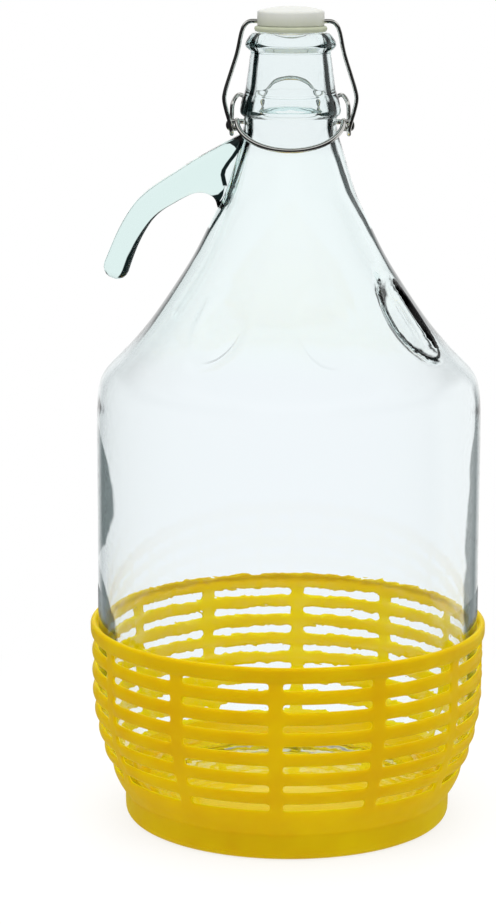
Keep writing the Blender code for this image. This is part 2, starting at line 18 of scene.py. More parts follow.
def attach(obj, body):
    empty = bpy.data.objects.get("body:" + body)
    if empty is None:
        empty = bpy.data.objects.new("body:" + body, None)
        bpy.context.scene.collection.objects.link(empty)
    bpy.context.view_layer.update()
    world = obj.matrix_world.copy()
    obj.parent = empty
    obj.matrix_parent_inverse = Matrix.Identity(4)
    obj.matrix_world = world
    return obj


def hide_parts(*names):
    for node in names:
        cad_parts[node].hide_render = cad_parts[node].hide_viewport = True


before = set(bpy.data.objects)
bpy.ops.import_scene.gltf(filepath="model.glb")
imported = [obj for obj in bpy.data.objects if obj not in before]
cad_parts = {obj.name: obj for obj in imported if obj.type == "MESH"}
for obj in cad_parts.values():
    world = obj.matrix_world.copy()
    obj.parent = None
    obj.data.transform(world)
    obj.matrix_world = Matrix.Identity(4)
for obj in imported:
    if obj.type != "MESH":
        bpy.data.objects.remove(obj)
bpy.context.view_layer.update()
scene = bpy.context.scene
MM = 0.001

# %% [markdown]
# ## The camera
# The photograph was taken with a long lens from 1.29 m away, 0.42 m above the ground, looking down by 11.4 degrees. A
# camera could be aimed by eye, but this one was fitted to the object's known height and width, so that outlines can be
# compared. The object stands a little to the right of the picture's middle, so the camera turns left a little.

# %% Camera
PICTURE_WIDTH, PICTURE_HEIGHT = 496, 924
FOCAL_PIXELS, AXIS_COLUMN = 2986, 289.3
CAMERA_DISTANCE, CAMERA_HEIGHT = 1.287, 0.418
LOOK_DOWN, ROLL = math.radians(11.357), math.radians(0.15)

camera_data = bpy.data.cameras.new("camera")
camera_data.sensor_width = 36
camera_data.lens = FOCAL_PIXELS * camera_data.sensor_width / PICTURE_HEIGHT
camera = bpy.data.objects.new("camera", camera_data)
turn_left = math.atan((AXIS_COLUMN - PICTURE_WIDTH / 2) / FOCAL_PIXELS)
camera.matrix_world = (Matrix.Translation((0, -CAMERA_DISTANCE, CAMERA_HEIGHT))
                       @ Matrix.Rotation(turn_left, 4, "Z")
                       @ Matrix.Rotation(math.pi / 2 - LOOK_DOWN, 4, "X")
                       @ Matrix.Rotation(ROLL, 4, "Z"))
scene.collection.objects.link(camera)
scene.camera = camera
print("camera lens", round(camera_data.lens, 2), "mm, turned", round(math.degrees(turn_left), 2), "degrees")

# %% [markdown]
# ## Finishes: materials and nodes
# Glass, plastic, rubber and wire all start from one Principled shader, and nodes let its colour and gloss vary over the
# piece. They could be placed by hand in the shader editor. Small helpers do the same here, so that each finish reads
# like a recipe.

# %% Helpers for materials and nodes
def feed(socket, value):
    """Link a node's output to a socket, or write a number, a vector or a colour there."""
    if isinstance(value, bpy.types.NodeSocket):
        socket.id_data.links.new(value, socket)
    elif socket.type == "RGBA":
        socket.default_value = (*value, 1)
    else:
        socket.default_value = value


def new_material(name, **settings):
    """A material, its tree and its Principled shader. Underscores in a setting's name stand for spaces."""
    material = bpy.data.materials.new(name)
    material.use_nodes = True
    shader = material.node_tree.nodes["Principled BSDF"]
    for key, value in settings.items():
        feed(shader.inputs[key.replace("_", " ")], value)
    return material, material.node_tree, shader


def add_node(tree, kind, **settings):
    """A node. A setting is an input, with underscores for spaces, or else a property of the node."""
    node = tree.nodes.new(kind)
    for key, value in settings.items():
        name = key.replace("_", " ")
        if name in node.inputs:
            feed(node.inputs[name], value)
        else:
            setattr(node, key, value)
    return node


print("helpers for materials and nodes ready")

# %% [markdown]
# ## Finishes: sums on values
# The glass is dark only at certain heights and angles. That could be painted on an image, but an image blurs and has to
# be fitted to the mesh. Sums on a point's place and facing angle stay sharp at any size. A node's output knows its own
# tree, so these helpers find the tree from the values that they get.

# %% Helpers for sums
MIX_VALUES, MIX_COLORS = (2, 3, 0), (6, 7, 2)      # where a Mix node has its sockets A, B and Result


def calculate(operation, *values):
    """A Math node over numbers and other nodes' outputs."""
    tree = next(value.id_data for value in values if isinstance(value, bpy.types.NodeSocket))
    node = add_node(tree, "ShaderNodeMath", operation=operation)
    for socket, value in zip(node.inputs, values):
        feed(socket, value)
    return node.outputs["Value"]


def product(first, *others):
    """All the values multiplied."""
    for other in others:
        first = calculate("MULTIPLY", first, other)
    return first


def off_from(value, middle):
    """How far a value is from the middle, to either side."""
    return calculate("ABSOLUTE", calculate("SUBTRACT", value, middle))


def share_between(value, low, high):
    """0 at low, 1 at high, and a smooth way between."""
    node = add_node(value.id_data, "ShaderNodeMapRange", interpolation_type="SMOOTHSTEP", Value=value,
                    From_Min=low, From_Max=high)
    return node.outputs["Result"]


def blend_values(share, low, high):
    """From the low value, where the share is 0, to the high one."""
    node = add_node(share.id_data, "ShaderNodeMix", data_type="FLOAT", Factor=share)
    first, second, result = MIX_VALUES
    feed(node.inputs[first], low)
    feed(node.inputs[second], high)
    return node.outputs[result]


print("helpers for sums ready")

# %% [markdown]
# ## Finishes: colours and curves
# A colour ramp turns a value into a colour, and it can also stand for any curve, such as the outline of the cone over
# the height. A curve node could do that too, but a ramp shows its stops in plain numbers.

# %% Helpers for colours and curves
def blend_colors(share, low, high):
    """From the low colour, where the share is 0, to the high one."""
    node = add_node(share.id_data, "ShaderNodeMix", data_type="RGBA", Factor=share)
    first, second, result = MIX_COLORS
    feed(node.inputs[first], low)
    feed(node.inputs[second], high)
    return node.outputs[result]


def ramp(source, stops):
    """A colour ramp over a value. Each stop is (place, colour), and a single number is a grey."""
    node = add_node(source.id_data, "ShaderNodeValToRGB", Fac=source)
    while len(node.color_ramp.elements) < len(stops):
        node.color_ramp.elements.new(0.5)
    for element, (place, color) in zip(node.color_ramp.elements, stops):
        element.position = place
        element.color = (*color, 1) if isinstance(color, tuple) else (color, color, color, 1)
    return node.outputs["Color"]


def curve_over(value, points):
    """A smooth curve through (value, result) points."""
    low, high = points[0][0], points[-1][0]
    results = [result for _, result in points]
    least, most = min(results), max(results)
    share = calculate("DIVIDE", calculate("SUBTRACT", value, low), high - low)
    height = ramp(share, [((place - low) / (high - low), (result - least) / (most - least))
                          for place, result in points])
    return calculate("MULTIPLY_ADD", height, most - least, least)


print("helpers for colours ready")

# %% [markdown]
# ## Finishes: uneven surfaces
# No real surface is quite even: glass is wavy, plastic is clouded, and drawn wire is streaked. Each material could have
# its own noise nodes. One node group with named inputs serves them all instead. It is built once and is placed in each
# material with its own values. Its noise is fixed to the object, so it stays with a piece that moves.

# %% Node group for uneven surfaces
uneven = bpy.data.node_groups.new("uneven_surface", "ShaderNodeTree")
for socket_name, socket_type in (("Scale", "NodeSocketFloat"), ("Detail", "NodeSocketFloat"),
                                 ("Stretch", "NodeSocketVector")):
    uneven.interface.new_socket(name=socket_name, in_out="INPUT", socket_type=socket_type)
uneven.interface.new_socket(name="Value", in_out="OUTPUT", socket_type="NodeSocketFloat")
group_in, group_out = add_node(uneven, "NodeGroupInput"), add_node(uneven, "NodeGroupOutput")
on_object = add_node(uneven, "ShaderNodeTexCoord").outputs["Object"]
stretched = add_node(uneven, "ShaderNodeMapping", Vector=on_object, Scale=group_in.outputs["Stretch"])
texture = add_node(uneven, "ShaderNodeTexNoise", Vector=stretched.outputs["Vector"],
                   Scale=group_in.outputs["Scale"], Detail=group_in.outputs["Detail"])
feed(group_out.inputs["Value"], texture.outputs["Fac"])
print("node group:", uneven.name)

# %% [markdown]
# ## Finishes: noise, bump and place
# Three short helpers place the group in a material, turn its noise into small dents, and read where a point lies on
# its piece. Real dents could be modelled, but these are far finer than the mesh, so bump is enough.

# %% Helpers for noise, bump and place
def object_noise(tree, scale, detail=2.0, stretch=(1, 1, 1)):
    """Noise fixed to the object, with its scale in waves per metre."""
    node = add_node(tree, "ShaderNodeGroup", node_tree=uneven, Scale=scale, Detail=detail, Stretch=stretch)
    return node.outputs["Value"]


def add_bump(tree, shader, height, distance, strength=1.0):
    """Small dents, as deep as the distance in metres."""
    bump = add_node(tree, "ShaderNodeBump", Strength=strength, Distance=distance, Height=height)
    feed(shader.inputs["Normal"], bump.outputs["Normal"])


def object_axes(tree):
    """A point's place on its object, and its X, Y and Z in metres."""
    place = add_node(tree, "ShaderNodeTexCoord").outputs["Object"]
    axes = add_node(tree, "ShaderNodeSeparateXYZ", Vector=place)
    return place, axes.outputs["X"], axes.outputs["Y"], axes.outputs["Z"]


print("helpers for noise, bump and place ready")

# %% [markdown]
# ## Glass: clear and faintly green
# The bottle is clear glass. A Principled shader with full transmission bends the view as glass does. The faint green
# could be the shader's colour, but then thick and thin glass would look alike. A volume that takes away some red does
# more of it where the light's way through the glass is long, as in the punt and the lip.

# %% Glass: shader and volume
GLASS_LEAVES, GLASS_DENSITY = (0.05, 0.6, 0.58), 7.0
MIRROR_TINT = (0.3, 0.3, 0.3)
glass_clear, glass_tree, glass_shader = new_material("glass_clear", Roughness=0.0, IOR=1.5, Transmission_Weight=1.0,
                                                     Specular_Tint=MIRROR_TINT)
glass_volume = add_node(glass_tree, "ShaderNodeVolumeAbsorption", Density=GLASS_DENSITY, Color=GLASS_LEAVES)
glass_output = glass_tree.nodes["Material Output"]
feed(glass_output.inputs["Volume"], glass_volume.outputs["Volume"])
print("glass:", glass_clear.name, "with density", GLASS_DENSITY)

# %% [markdown]
# ## Glass: how far a point is turned from the eye
# Glass looks dark towards its edges, where it bends the view aside to the dark parts of a studio. That studio could be
# built round the object, but then the look would hang on one room. Here the dark bands are painted shade: tints over
# the facing angle, which Layer Weight gives from every side. Its normal is that of a plain cylinder round the axis, so
# that the bands run straight through collar and lip. A little noise lets their borders wander, as in blown glass.

# %% Glass: facing angle
WANDER_SCALE, WANDER = 220, 0.08
glass_place, right, back, up = object_axes(glass_tree)
from_axis = add_node(glass_tree, "ShaderNodeCombineXYZ", X=right, Y=back).outputs["Vector"]
outward = add_node(glass_tree, "ShaderNodeVectorMath", operation="NORMALIZE")
feed(outward.inputs[0], from_axis)
round_weight = add_node(glass_tree, "ShaderNodeLayerWeight", Blend=0.5, Normal=outward.outputs["Vector"])
facing = round_weight.outputs["Facing"]
wander = object_noise(glass_tree, WANDER_SCALE, 3.0, (1, 1, 0.5))
ragged = calculate("ADD", facing, calculate("MULTIPLY_ADD", wander, WANDER, -WANDER / 2))
print("the bands wander by up to", WANDER / 2, "of the facing angle")

# %% [markdown]
# ## Glass: bands of the neck and the collar
# The neck's wall is thick, so it shows a black band near each side, and the collar's band is a little broader. Both are
# painted shade. Each facing angle is met once on the left and once on the right, so one ramp draws both bands.

# %% Glass: neck and collar
BLACK, CLEAR, NECK_TINT = (0.00005, 0.0002, 0.0002), (1, 1, 1), (0.77, 0.86, 0.88)


def neck_band(*borders):
    """The neck's tint with a black band that starts, is black, is still black and ends at the four borders."""
    band = zip(borders, (NECK_TINT, BLACK, BLACK, NECK_TINT))
    return ramp(ragged, [(0.0, NECK_TINT), *band, (1.0, NECK_TINT)])


neck_edge = neck_band(0.36, 0.41, 0.54, 0.60)
collar_edge = neck_band(0.31, 0.35, 0.58, 0.64)
print("the neck and the collar have a black band at each side")

# %% [markdown]
# ## Glass: the cone
# On the cone the wall gets thinner downwards, so the band comes nearer to the outline and gets fainter, and it does so
# sooner on the right. The band and its dark line are painted shade. A band could be a strip of mesh, but it has to stay
# at the outline when one walks round. So two curves say at which facing angle the line lies at each height, and a ramp
# draws the line over the distance from it.

# %% Glass: cone
CONE_PALE, CONE_BY_LINE, CONE_RIM = (0.86, 0.97, 0.98), (0.84, 0.95, 0.96), (0.8, 0.9, 0.9)
LINE_EDGE = (0.002, 0.005, 0.005)
on_right = share_between(right, -1 * MM, 1 * MM)
left_line = curve_over(up, [(0.222, 0.86), (0.250, 0.84), (0.262, 0.77), (0.271, 0.657), (0.2765, 0.613),
                            (0.2855, 0.556), (0.2965, 0.50)])
right_line = curve_over(up, [(0.222, 0.90), (0.233, 0.88), (0.2547, 0.84), (0.2675, 0.74), (0.2805, 0.59),
                             (0.2965, 0.50)])
off_line = blend_values(on_right, calculate("MULTIPLY_ADD", calculate("SUBTRACT", facing, left_line), 2.5, 0.9),
                        calculate("MULTIPLY_ADD", calculate("SUBTRACT", facing, right_line), 1.5, 0.9))
off_line = calculate("ADD", off_line, calculate("SUBTRACT", ragged, facing))
# Low on the cone the rim past the line stays black
past_line = calculate("MULTIPLY_ADD", share_between(up, 0.262, 0.272), 1.5, 0.95)
off_line = calculate("MINIMUM", off_line, past_line)
cone_edge = ramp(product(off_line, 0.7), [(0.0, CONE_PALE), (0.52, CONE_BY_LINE), (0.56, LINE_EDGE), (0.71, BLACK),
                                          (0.75, CONE_RIM)])
print("the cone's line runs at facing angles from 0.50 at the neck to 0.90 at the shoulder")

# %% [markdown]
# ## Glass: grey patches of the body
# The wide body is thin and stays clear nearly to its outline. Its wall is a little thicker at places, and there grey
# patches of painted shade run along the edge: two on the left and a long one on the right. Each is a curve over the
# height, which says how near to the outline the grey begins.

# %% Glass: body
plain_edge = ramp(facing, [(0.0, (0.87, 0.93, 0.99)), (0.2, (0.86, 0.92, 0.97)), (0.6, (0.82, 0.87, 0.9)),
                           (0.85, (0.8, 0.85, 0.88)), (0.97, (0.4, 0.45, 0.46)), (1.0, (0.1, 0.12, 0.12))])
patch_edge = ramp(facing, [(0.0, (0.05, 0.068, 0.07)), (0.77, (0.06, 0.08, 0.082)), (0.85, (0.25, 0.29, 0.3)),
                           (0.95, (0.2, 0.24, 0.24)), (1.0, (0.1, 0.12, 0.12))])


def patch(middle, narrowing, less):
    """The facing angle, less what it loses with the square of the distance from the patch's middle height."""
    off = calculate("POWER", off_from(up, middle), 2.0)
    return calculate("SUBTRACT", facing, calculate("MULTIPLY_ADD", off, narrowing, less))


left_patches = calculate("MAXIMUM", patch(0.150, 330.0, 0.0), patch(0.088, 330.0, 0.0))
right_patch = patch(0.118, 24.0, 0.05)
patch_wander = calculate("MULTIPLY_ADD", object_noise(glass_tree, 90, 4.0, (1, 1, 0.5)), 0.12, -0.06)
in_patch = calculate("ADD", blend_values(on_right, left_patches, right_patch), patch_wander)
print("patches at heights 0.150 and 0.088 on the left, 0.118 on the right")

# %% [markdown]
# ## Glass: the zones put together
# Body, shoulder, cone and neck each have their own tint now. They could be four materials on four parts of the mesh,
# but glass has to be one closed mesh with one material. So each zone's tint is laid over the one below it, and the
# height says where one fades into the next.

# %% Glass: zones by height
ZONES = ((0.192, 0.200, plain_edge), (0.205, 0.225, cone_edge), (0.294, 0.300, neck_edge))     # from, full, tint
COLLAR_HEIGHT, COLLAR_ENDS, COLLAR_FULL = 315.5 * MM, 4.5 * MM, 2.5 * MM
tint = blend_colors(share_between(in_patch, 0.58, 0.61), plain_edge, patch_edge)
for zone_low, zone_full, zone_edge in ZONES:
    tint = blend_colors(share_between(up, zone_low, zone_full), tint, zone_edge)
near_collar = share_between(off_from(up, COLLAR_HEIGHT), COLLAR_ENDS, COLLAR_FULL)
tint = blend_colors(near_collar, tint, collar_edge)
print("zones:", len(ZONES) + 1, "and the collar")

# %% [markdown]
# ## Glass: lines under the lip and the collar
# Where lip and collar overhang, a dark line runs in from each band and tapers off towards the middle. It would take a
# sharper mesh and a darker room to get these from the glass alone, so they are drawn: a line is as thick as the facing
# angle says, and nothing near the middle. Seen from steeply above, all the bands are gone, as in real glass.

# %% Glass: lines, and the view from above
LINE_LEVELS, LINE_THICK, LINE_SOFT, LINE_TINT = (0.3418, 0.3133), 0.9 * MM, 0.15 * MM, (0.002, 0.004, 0.004)
FROM_ABOVE_TINT = (0.86, 0.95, 0.96)
for level in LINE_LEVELS:
    thick = product(share_between(facing, 0.07, 0.30), LINE_THICK, share_between(facing, 0.62, 0.5))
    line = share_between(calculate("SUBTRACT", thick, off_from(up, level)), 0.0, LINE_SOFT)
    tint = blend_colors(line, tint, LINE_TINT)
overhead = add_node(glass_tree, "ShaderNodeCombineXYZ", Z=1.0).outputs["Vector"]
flat_weight = add_node(glass_tree, "ShaderNodeLayerWeight", Blend=0.5, Normal=overhead)
shallow = share_between(flat_weight.outputs["Facing"], 0.3, 0.55)
tint = blend_colors(shallow, FROM_ABOVE_TINT, tint)
print("lines at", LINE_LEVELS, "metres")

# %% [markdown]
# ## Glass: the handle
# The handle is solid and flat-sided, so it is pale green all over and has none of the neck's bands. It is one piece
# with the bottle. The material tells it apart by its place: it lies outside the cone's outline, at the left.

# %% Glass: handle
HANDLE_TINT = (0.66, 0.85, 0.82)
HANDLE_RIGHT_END, HANDLE_LOW_END = -19 * MM, 236 * MM
axis_distance = add_node(glass_tree, "ShaderNodeVectorMath", operation="LENGTH")
feed(axis_distance.inputs[0], from_axis)
cone_radius = curve_over(up, [(0.2372, 0.0503), (0.2513, 0.0415), (0.2680, 0.0332), (0.2773, 0.0289),
                              (0.2872, 0.0256), (0.2989, 0.0221), (0.3045, 0.0205), (0.310, 0.0201)])
outside_cone = share_between(calculate("SUBTRACT", axis_distance.outputs["Value"], cone_radius), 0.6 * MM, 1.2 * MM)
beside_neck = product(calculate("LESS_THAN", right, HANDLE_RIGHT_END), calculate("GREATER_THAN", up, HANDLE_LOW_END))
on_handle = product(outside_cone, beside_neck)
tint = blend_colors(on_handle, tint, HANDLE_TINT)
print("handle tint left of", HANDLE_RIGHT_END, "and above", HANDLE_LOW_END)

# %% [markdown]
# ## Glass: where the handle grows out of the neck
# The two masses of glass meet in soft folds, which show as a dark winding line, with neck-coloured glass to its right.
# The folds are finer than the mesh, so the dark line is painted shade on the handle's two flanks, drawn as curves over
# height and width.

# %% Glass: the root's winding line
ROOT_LOW, ROOT_SOFT, FLANK = 281.2 * MM, 0.8 * MM, 4.5 * MM
ROOT_TINT = (0.86, 0.95, 0.95)
flank = product(beside_neck, calculate("GREATER_THAN", calculate("ABSOLUTE", back), FLANK))
winding = curve_over(up, [(0.2815, -0.0278), (0.284, -0.0284), (0.2865, -0.0289), (0.2886, -0.0284),
                          (0.2915, -0.0266), (0.2947, -0.0241), (0.2979, -0.0220), (0.3004, -0.0209),
                          (0.304, -0.0202)])
from_winding = calculate("SUBTRACT", right, winding)
above_low = share_between(up, ROOT_LOW, ROOT_LOW + ROOT_SOFT)
neck_side = product(above_low, share_between(from_winding, -0.2 * MM, 0.2 * MM), flank, on_handle)
tint = blend_colors(neck_side, tint, ROOT_TINT)
winding_line = product(share_between(calculate("ABSOLUTE", from_winding), 1.15 * MM, 0.85 * MM), above_low)
print("winding line from", ROOT_LOW, "to 0.304 metres")

# %% [markdown]
# ## Glass: the root's dark corners
# Above the winding line a dark wedge of painted shade lies under the handle's upper edge, and below it another fills
# the corner between handle and cone. Each is the space between two curves. They and the line show on the flanks only,
# and not from steeply above. The dark band along the lower leg is painted shade too. It comes from a mark on the mesh,
# which is made with the handle further down.

# %% Glass: dark wedge, corner and leg
CORNER_LEFT, CORNER_RIGHT = -34.9 * MM, -27.7 * MM
wedge_deep = curve_over(right, [(-0.0300, 0.0), (-0.0288, 0.0003), (-0.0258, 0.0015), (-0.0239, 0.0037),
                                (-0.0231, 0.0052), (-0.0216, 0.0028), (-0.0211, 0.0)])
below_top = calculate("SUBTRACT", calculate("MULTIPLY_ADD", right, 0.547, 0.3152), up)
wedge = share_between(calculate("SUBTRACT", wedge_deep, below_top), 0.0, 0.3 * MM)
corner_top = curve_over(right, [(-0.0350, 0.2772), (-0.0335, 0.2775), (-0.0309, 0.2782), (-0.0286, 0.2804),
                                (-0.0279, 0.2822)])
corner_side = curve_over(right, [(-0.0350, 0.268), (-0.0316, 0.273), (-0.0305, 0.2743), (-0.0288, 0.2773),
                                 (-0.0279, 0.2822)])
corner = product(share_between(calculate("SUBTRACT", corner_top, up), -0.1 * MM, 0.3 * MM),
                 share_between(calculate("SUBTRACT", up, corner_side), -0.1 * MM, 0.3 * MM),
                 calculate("LESS_THAN", right, CORNER_RIGHT), calculate("GREATER_THAN", right, CORNER_LEFT))
# The wedge, the corner and the winding line are painted shade, laid on as black.
painted_root_shade = calculate("MAXIMUM", calculate("MAXIMUM", winding_line, wedge), corner)
tint = blend_colors(product(painted_root_shade, shallow, flank), tint, BLACK)
# The leg's dark band is painted shade.
leg_band = add_node(glass_tree, "ShaderNodeAttribute", attribute_name="leg_band").outputs["Fac"]
tint = blend_colors(share_between(leg_band, 0.35, 0.75), tint, BLACK)
print("dark corner between", CORNER_LEFT, "and", CORNER_RIGHT)

# %% [markdown]
# ## Where the finger recesses are
# Three oval recesses are pressed into the front of the shoulder, so that a hand holds the wet bottle better. Both the
# mesh and the material need their places, so these are worked out once. Each recess has a direction across it, one
# along it down the shoulder, and one into the glass.

# %% Places of the recesses
RECESSES = ((-32, 1.7 * MM, 1.3), (16, 1.4 * MM, 1.2), (64, 3.0 * MM, 2.2))    # turn, depth, steepness
RECESS_HEIGHT, RECESS_RADIUS = 227.2 * MM, 57.0 * MM
RECESS_SLOPE = math.atan2(237.2 - 217.0, 64.9 - 50.3)
RECESS_WIDE, RECESS_LONG = 26 * MM, 41 * MM


def recess_axes(turn):
    """The middle of a recess, and the directions across it, along it and into the glass."""
    angle = math.radians(turn - 90)
    outward = np.array((math.cos(angle), math.sin(angle), 0))
    across = np.array((-math.sin(angle), math.cos(angle), 0))
    along = outward * math.cos(RECESS_SLOPE) - np.array((0, 0, math.sin(RECESS_SLOPE)))
    into = -outward * math.sin(RECESS_SLOPE) - np.array((0, 0, math.cos(RECESS_SLOPE)))
    return outward * RECESS_RADIUS + np.array((0, 0, RECESS_HEIGHT)), across, along, into


print("recesses at", [turn for turn, _, _ in RECESSES], "degrees from the front")

# %% [markdown]
# ## Glass: tools for the recesses' outlines
# A recess's rim bends the view sharply, so glass shows it as a thin dark outline, which is painted here as shade. An
# outline could be an attribute of the mesh, but it would be as jagged as the mesh is coarse. Dot products with the
# recess's directions give the material smooth measures of its own.

# %% Glass: measures of a recess
def recess_measures(turn):
    """How far across and along a recess a point lies, its distance as a share of the rim's, and if it is near."""
    middle, across, along, into = recess_axes(turn)
    offset = add_node(glass_tree, "ShaderNodeVectorMath", operation="SUBTRACT")
    feed(offset.inputs[0], glass_place)
    feed(offset.inputs[1], middle)
    measures = []
    for direction in (across / (RECESS_WIDE / 2), along / (RECESS_LONG / 2), into):
        dot = add_node(glass_tree, "ShaderNodeVectorMath", operation="DOT_PRODUCT")
        feed(dot.inputs[0], offset.outputs["Vector"])
        feed(dot.inputs[1], direction)
        measures.append(dot.outputs["Value"])
    wide, long, deep = measures
    squares = calculate("MULTIPLY_ADD", long, long, product(wide, wide))
    near = calculate("LESS_THAN", calculate("ABSOLUTE", deep), RECESS_WIDE / 2)
    return wide, long, calculate("SQRT", squares), near


def outline_at(reach, middle, half):
    """1 on a line round the recess and 0 beside it."""
    return share_between(off_from(reach, middle), half, half * 0.5)


print("a recess is", RECESS_WIDE, "by", RECESS_LONG, "metres")

# %% [markdown]
# ## Glass: the recesses' outlines
# The right recess is seen aslant and is the deepest. It shows a thin line on its far side and a broad double one on its
# near side, open at the top. The outlines fade where the recess is seen head-on or from steeply above. The other two
# are shallow and show one faint arc each. All these lines are painted shade.

# %% Glass: outlines of the recesses
FAINT_ARCS = ((RECESSES[0][0], 0.5, 0.86, 0.9), (RECESSES[1][0], -0.4, 0.93, 0.2))     # turn, lean, size, strength
ARC_TINT = (0.02, 0.04, 0.04)
wide, long, reach, near = recess_measures(RECESSES[2][0])
reach = calculate("ADD", reach, product(calculate("SUBTRACT", ragged, facing), 0.15))
left_part = share_between(wide, 0.1, -0.1)
far_line = outline_at(reach, 1.0, 0.05)
near_lines = calculate("MAXIMUM", outline_at(reach, 1.03, 0.12), outline_at(reach, 0.80, 0.20))
outline = blend_values(left_part, far_line, near_lines)
aslant = product(shallow, share_between(facing, 0.15, 0.45))
tint = blend_colors(product(outline, share_between(long, -1.0, -0.8), near, aslant), tint, BLACK)
for turn, lean, size, strength in FAINT_ARCS:
    wide, long, reach, near = recess_measures(turn)
    toward = calculate("ADD", product(wide, lean), product(long, 0.6))
    arc = product(outline_at(reach, size, 0.05), share_between(toward, 0.45, 0.85), near, strength)
    tint = blend_colors(arc, tint, ARC_TINT)
print("outlines of recesses:", 1 + len(FAINT_ARCS))

# %% [markdown]
# ## Glass: the tint on the outside only
# The thick base mirrors the yellow basket round it, which a tint up from the base stands for. All tints belong to the
# outside as the eye meets it. If light met them on its way in and out through both skins, it would be tinted four
# times, so the inside and the back of each face stay clear. The inside is very slightly wavy, as in blown glass.

# %% Glass: colour and waves
BASE_TINT, BASE_ENDS, BASE_FULL = (0.93, 0.74, 0.12), 55 * MM, 30 * MM
inside = add_node(glass_tree, "ShaderNodeAttribute", attribute_name="inside").outputs["Fac"]
backfacing = add_node(glass_tree, "ShaderNodeNewGeometry").outputs["Backfacing"]
tint = blend_colors(share_between(up, BASE_ENDS, BASE_FULL), tint, BASE_TINT)
front = product(calculate("SUBTRACT", 1.0, inside), calculate("SUBTRACT", 1.0, backfacing))
feed(glass_shader.inputs["Base Color"], blend_colors(front, CLEAR, tint))
add_bump(glass_tree, glass_shader, object_noise(glass_tree, 170, 1.5, (1, 1, 1.4)), 0.05 * MM, inside)
print("the base is yellow up to", BASE_ENDS, "metres")

# %% [markdown]
# ## Glass: light passes through
# Light bends through real glass and still brightens what is behind it. Path tracing finds such light only with very
# many samples. Here rays that make shadows and light matt surfaces pass straight through, so the basket's inside is
# bright at once. The camera still sees the bent view.

# %% Glass: light through it
rays = add_node(glass_tree, "ShaderNodeLightPath")
lighting = calculate("MAXIMUM", rays.outputs["Is Shadow Ray"], rays.outputs["Is Diffuse Ray"])
through = add_node(glass_tree, "ShaderNodeBsdfTransparent", Color=CLEAR)
pass_light = add_node(glass_tree, "ShaderNodeMixShader", Fac=lighting)
feed(pass_light.inputs[1], glass_shader.outputs["BSDF"])
feed(pass_light.inputs[2], through.outputs["BSDF"])
feed(glass_output.inputs["Surface"], pass_light.outputs["Shader"])
print("glass nodes:", len(glass_tree.nodes))

# %% [markdown]
# ## Basket plastic
# The basket is moulded polyethylene: warm yellow, softly glossy and a little translucent, with faint clouds of colour.
# One flat colour would look like paint. Subsurface scattering lets light glow through the thin bars, and light that
# comes through the walls makes the inside brighter. The brighter inner colour is painted light that adds to this glow.

# %% Basket plastic
# The inner yellow is brighter than the outer one as painted light.
INNER_LIT_YELLOW = (0.88, 0.64, 0.003)
plastic, tree, shader = new_material("basket_plastic", Roughness=0.45, IOR=1.5, Subsurface_Weight=0.8,
                                     Specular_IOR_Level=0.06, Subsurface_Radius=(1.0, 0.7, 0.05),
                                     Subsurface_Scale=6 * MM)
outer_yellow = ramp(object_noise(tree, 38, 3.0), [(0.25, (0.55, 0.35, 0.0)), (0.5, (0.58, 0.40, 0.0)),
                                                  (0.8, (0.62, 0.46, 0.0))])
inner = add_node(tree, "ShaderNodeAttribute", attribute_name="inner").outputs["Fac"]
feed(shader.inputs["Base Color"], blend_colors(inner, outer_yellow, INNER_LIT_YELLOW))
feed(shader.inputs["Roughness"], ramp(object_noise(tree, 90, 2.0), [(0.3, 0.36), (0.7, 0.5)]))
add_bump(tree, shader, object_noise(tree, 160, 3.0), 0.35 * MM, 0.5)
print("plastic:", plastic.name)

# %% [markdown]
# ## Cap plastic
# The cap is off-white and satin. Towards its lower edge it is darker, which is painted shade that leaves the top
# lighter than the side, and a little greener. Its stem shows in the bright mouth of the bottle, where it gets a pale
# tint of painted light in the colour of the glass round it. Both changes lie at fixed heights, so the colour reads Z.

# %% Cap plastic
# The lower cap colour is painted shade, and the tint in the mouth is painted light.
CAP_SHADED_LOW, CAP_LIT_HIGH, IN_MOUTH_LIGHT_TINT = (0.52, 0.54, 0.44), (0.66, 0.67, 0.63), (0.82, 0.86, 0.84)
cap_plastic, tree, shader = new_material("cap_plastic", Roughness=0.38, IOR=1.5, Subsurface_Weight=0.2,
                                         Subsurface_Radius=(1.0, 0.9, 0.7), Subsurface_Scale=2 * MM)
_, _, _, cap_up = object_axes(tree)
cap_color = blend_colors(share_between(cap_up, 0.3495, 0.3568), CAP_SHADED_LOW, CAP_LIT_HIGH)
cap_color = blend_colors(share_between(cap_up, 0.3476, 0.348), IN_MOUTH_LIGHT_TINT, cap_color)
feed(shader.inputs["Base Color"], cap_color)
add_bump(tree, shader, object_noise(tree, 420, 2.0), 0.08 * MM, 0.6)
print("cap:", cap_plastic.name)

# %% [markdown]
# ## Gasket rubber
# The gasket is a greenish cream and matt, with faint clouds. Its underside lies over the bright mouth and shows none of
# the cream from below, so it gets the same pale tint of painted light there as the stem.

# %% Gasket rubber
rubber, tree, shader = new_material("gasket_rubber", Roughness=0.55, IOR=1.45, Subsurface_Weight=0.15,
                                    Subsurface_Radius=(1.0, 0.9, 0.5), Subsurface_Scale=2 * MM)
cream = ramp(object_noise(tree, 200, 2.0), [(0.3, (0.43, 0.46, 0.33)), (0.7, (0.49, 0.52, 0.39))])
_, _, _, rubber_up = object_axes(tree)
# The pale tint on the underside is painted light.
feed(shader.inputs["Base Color"], blend_colors(share_between(rubber_up, 0.3471, 0.3475), IN_MOUTH_LIGHT_TINT, cream))
add_bump(tree, shader, object_noise(tree, 700, 2.0), 0.05 * MM, 0.6)
print("rubber:", rubber.name)

# %% [markdown]
# ## Wire
# Both wires are bright drawn steel. Plain metal would mirror the room too cleanly. Noise in its gloss and colour breaks
# the reflections up a little, as the marks of drawing and bending do.

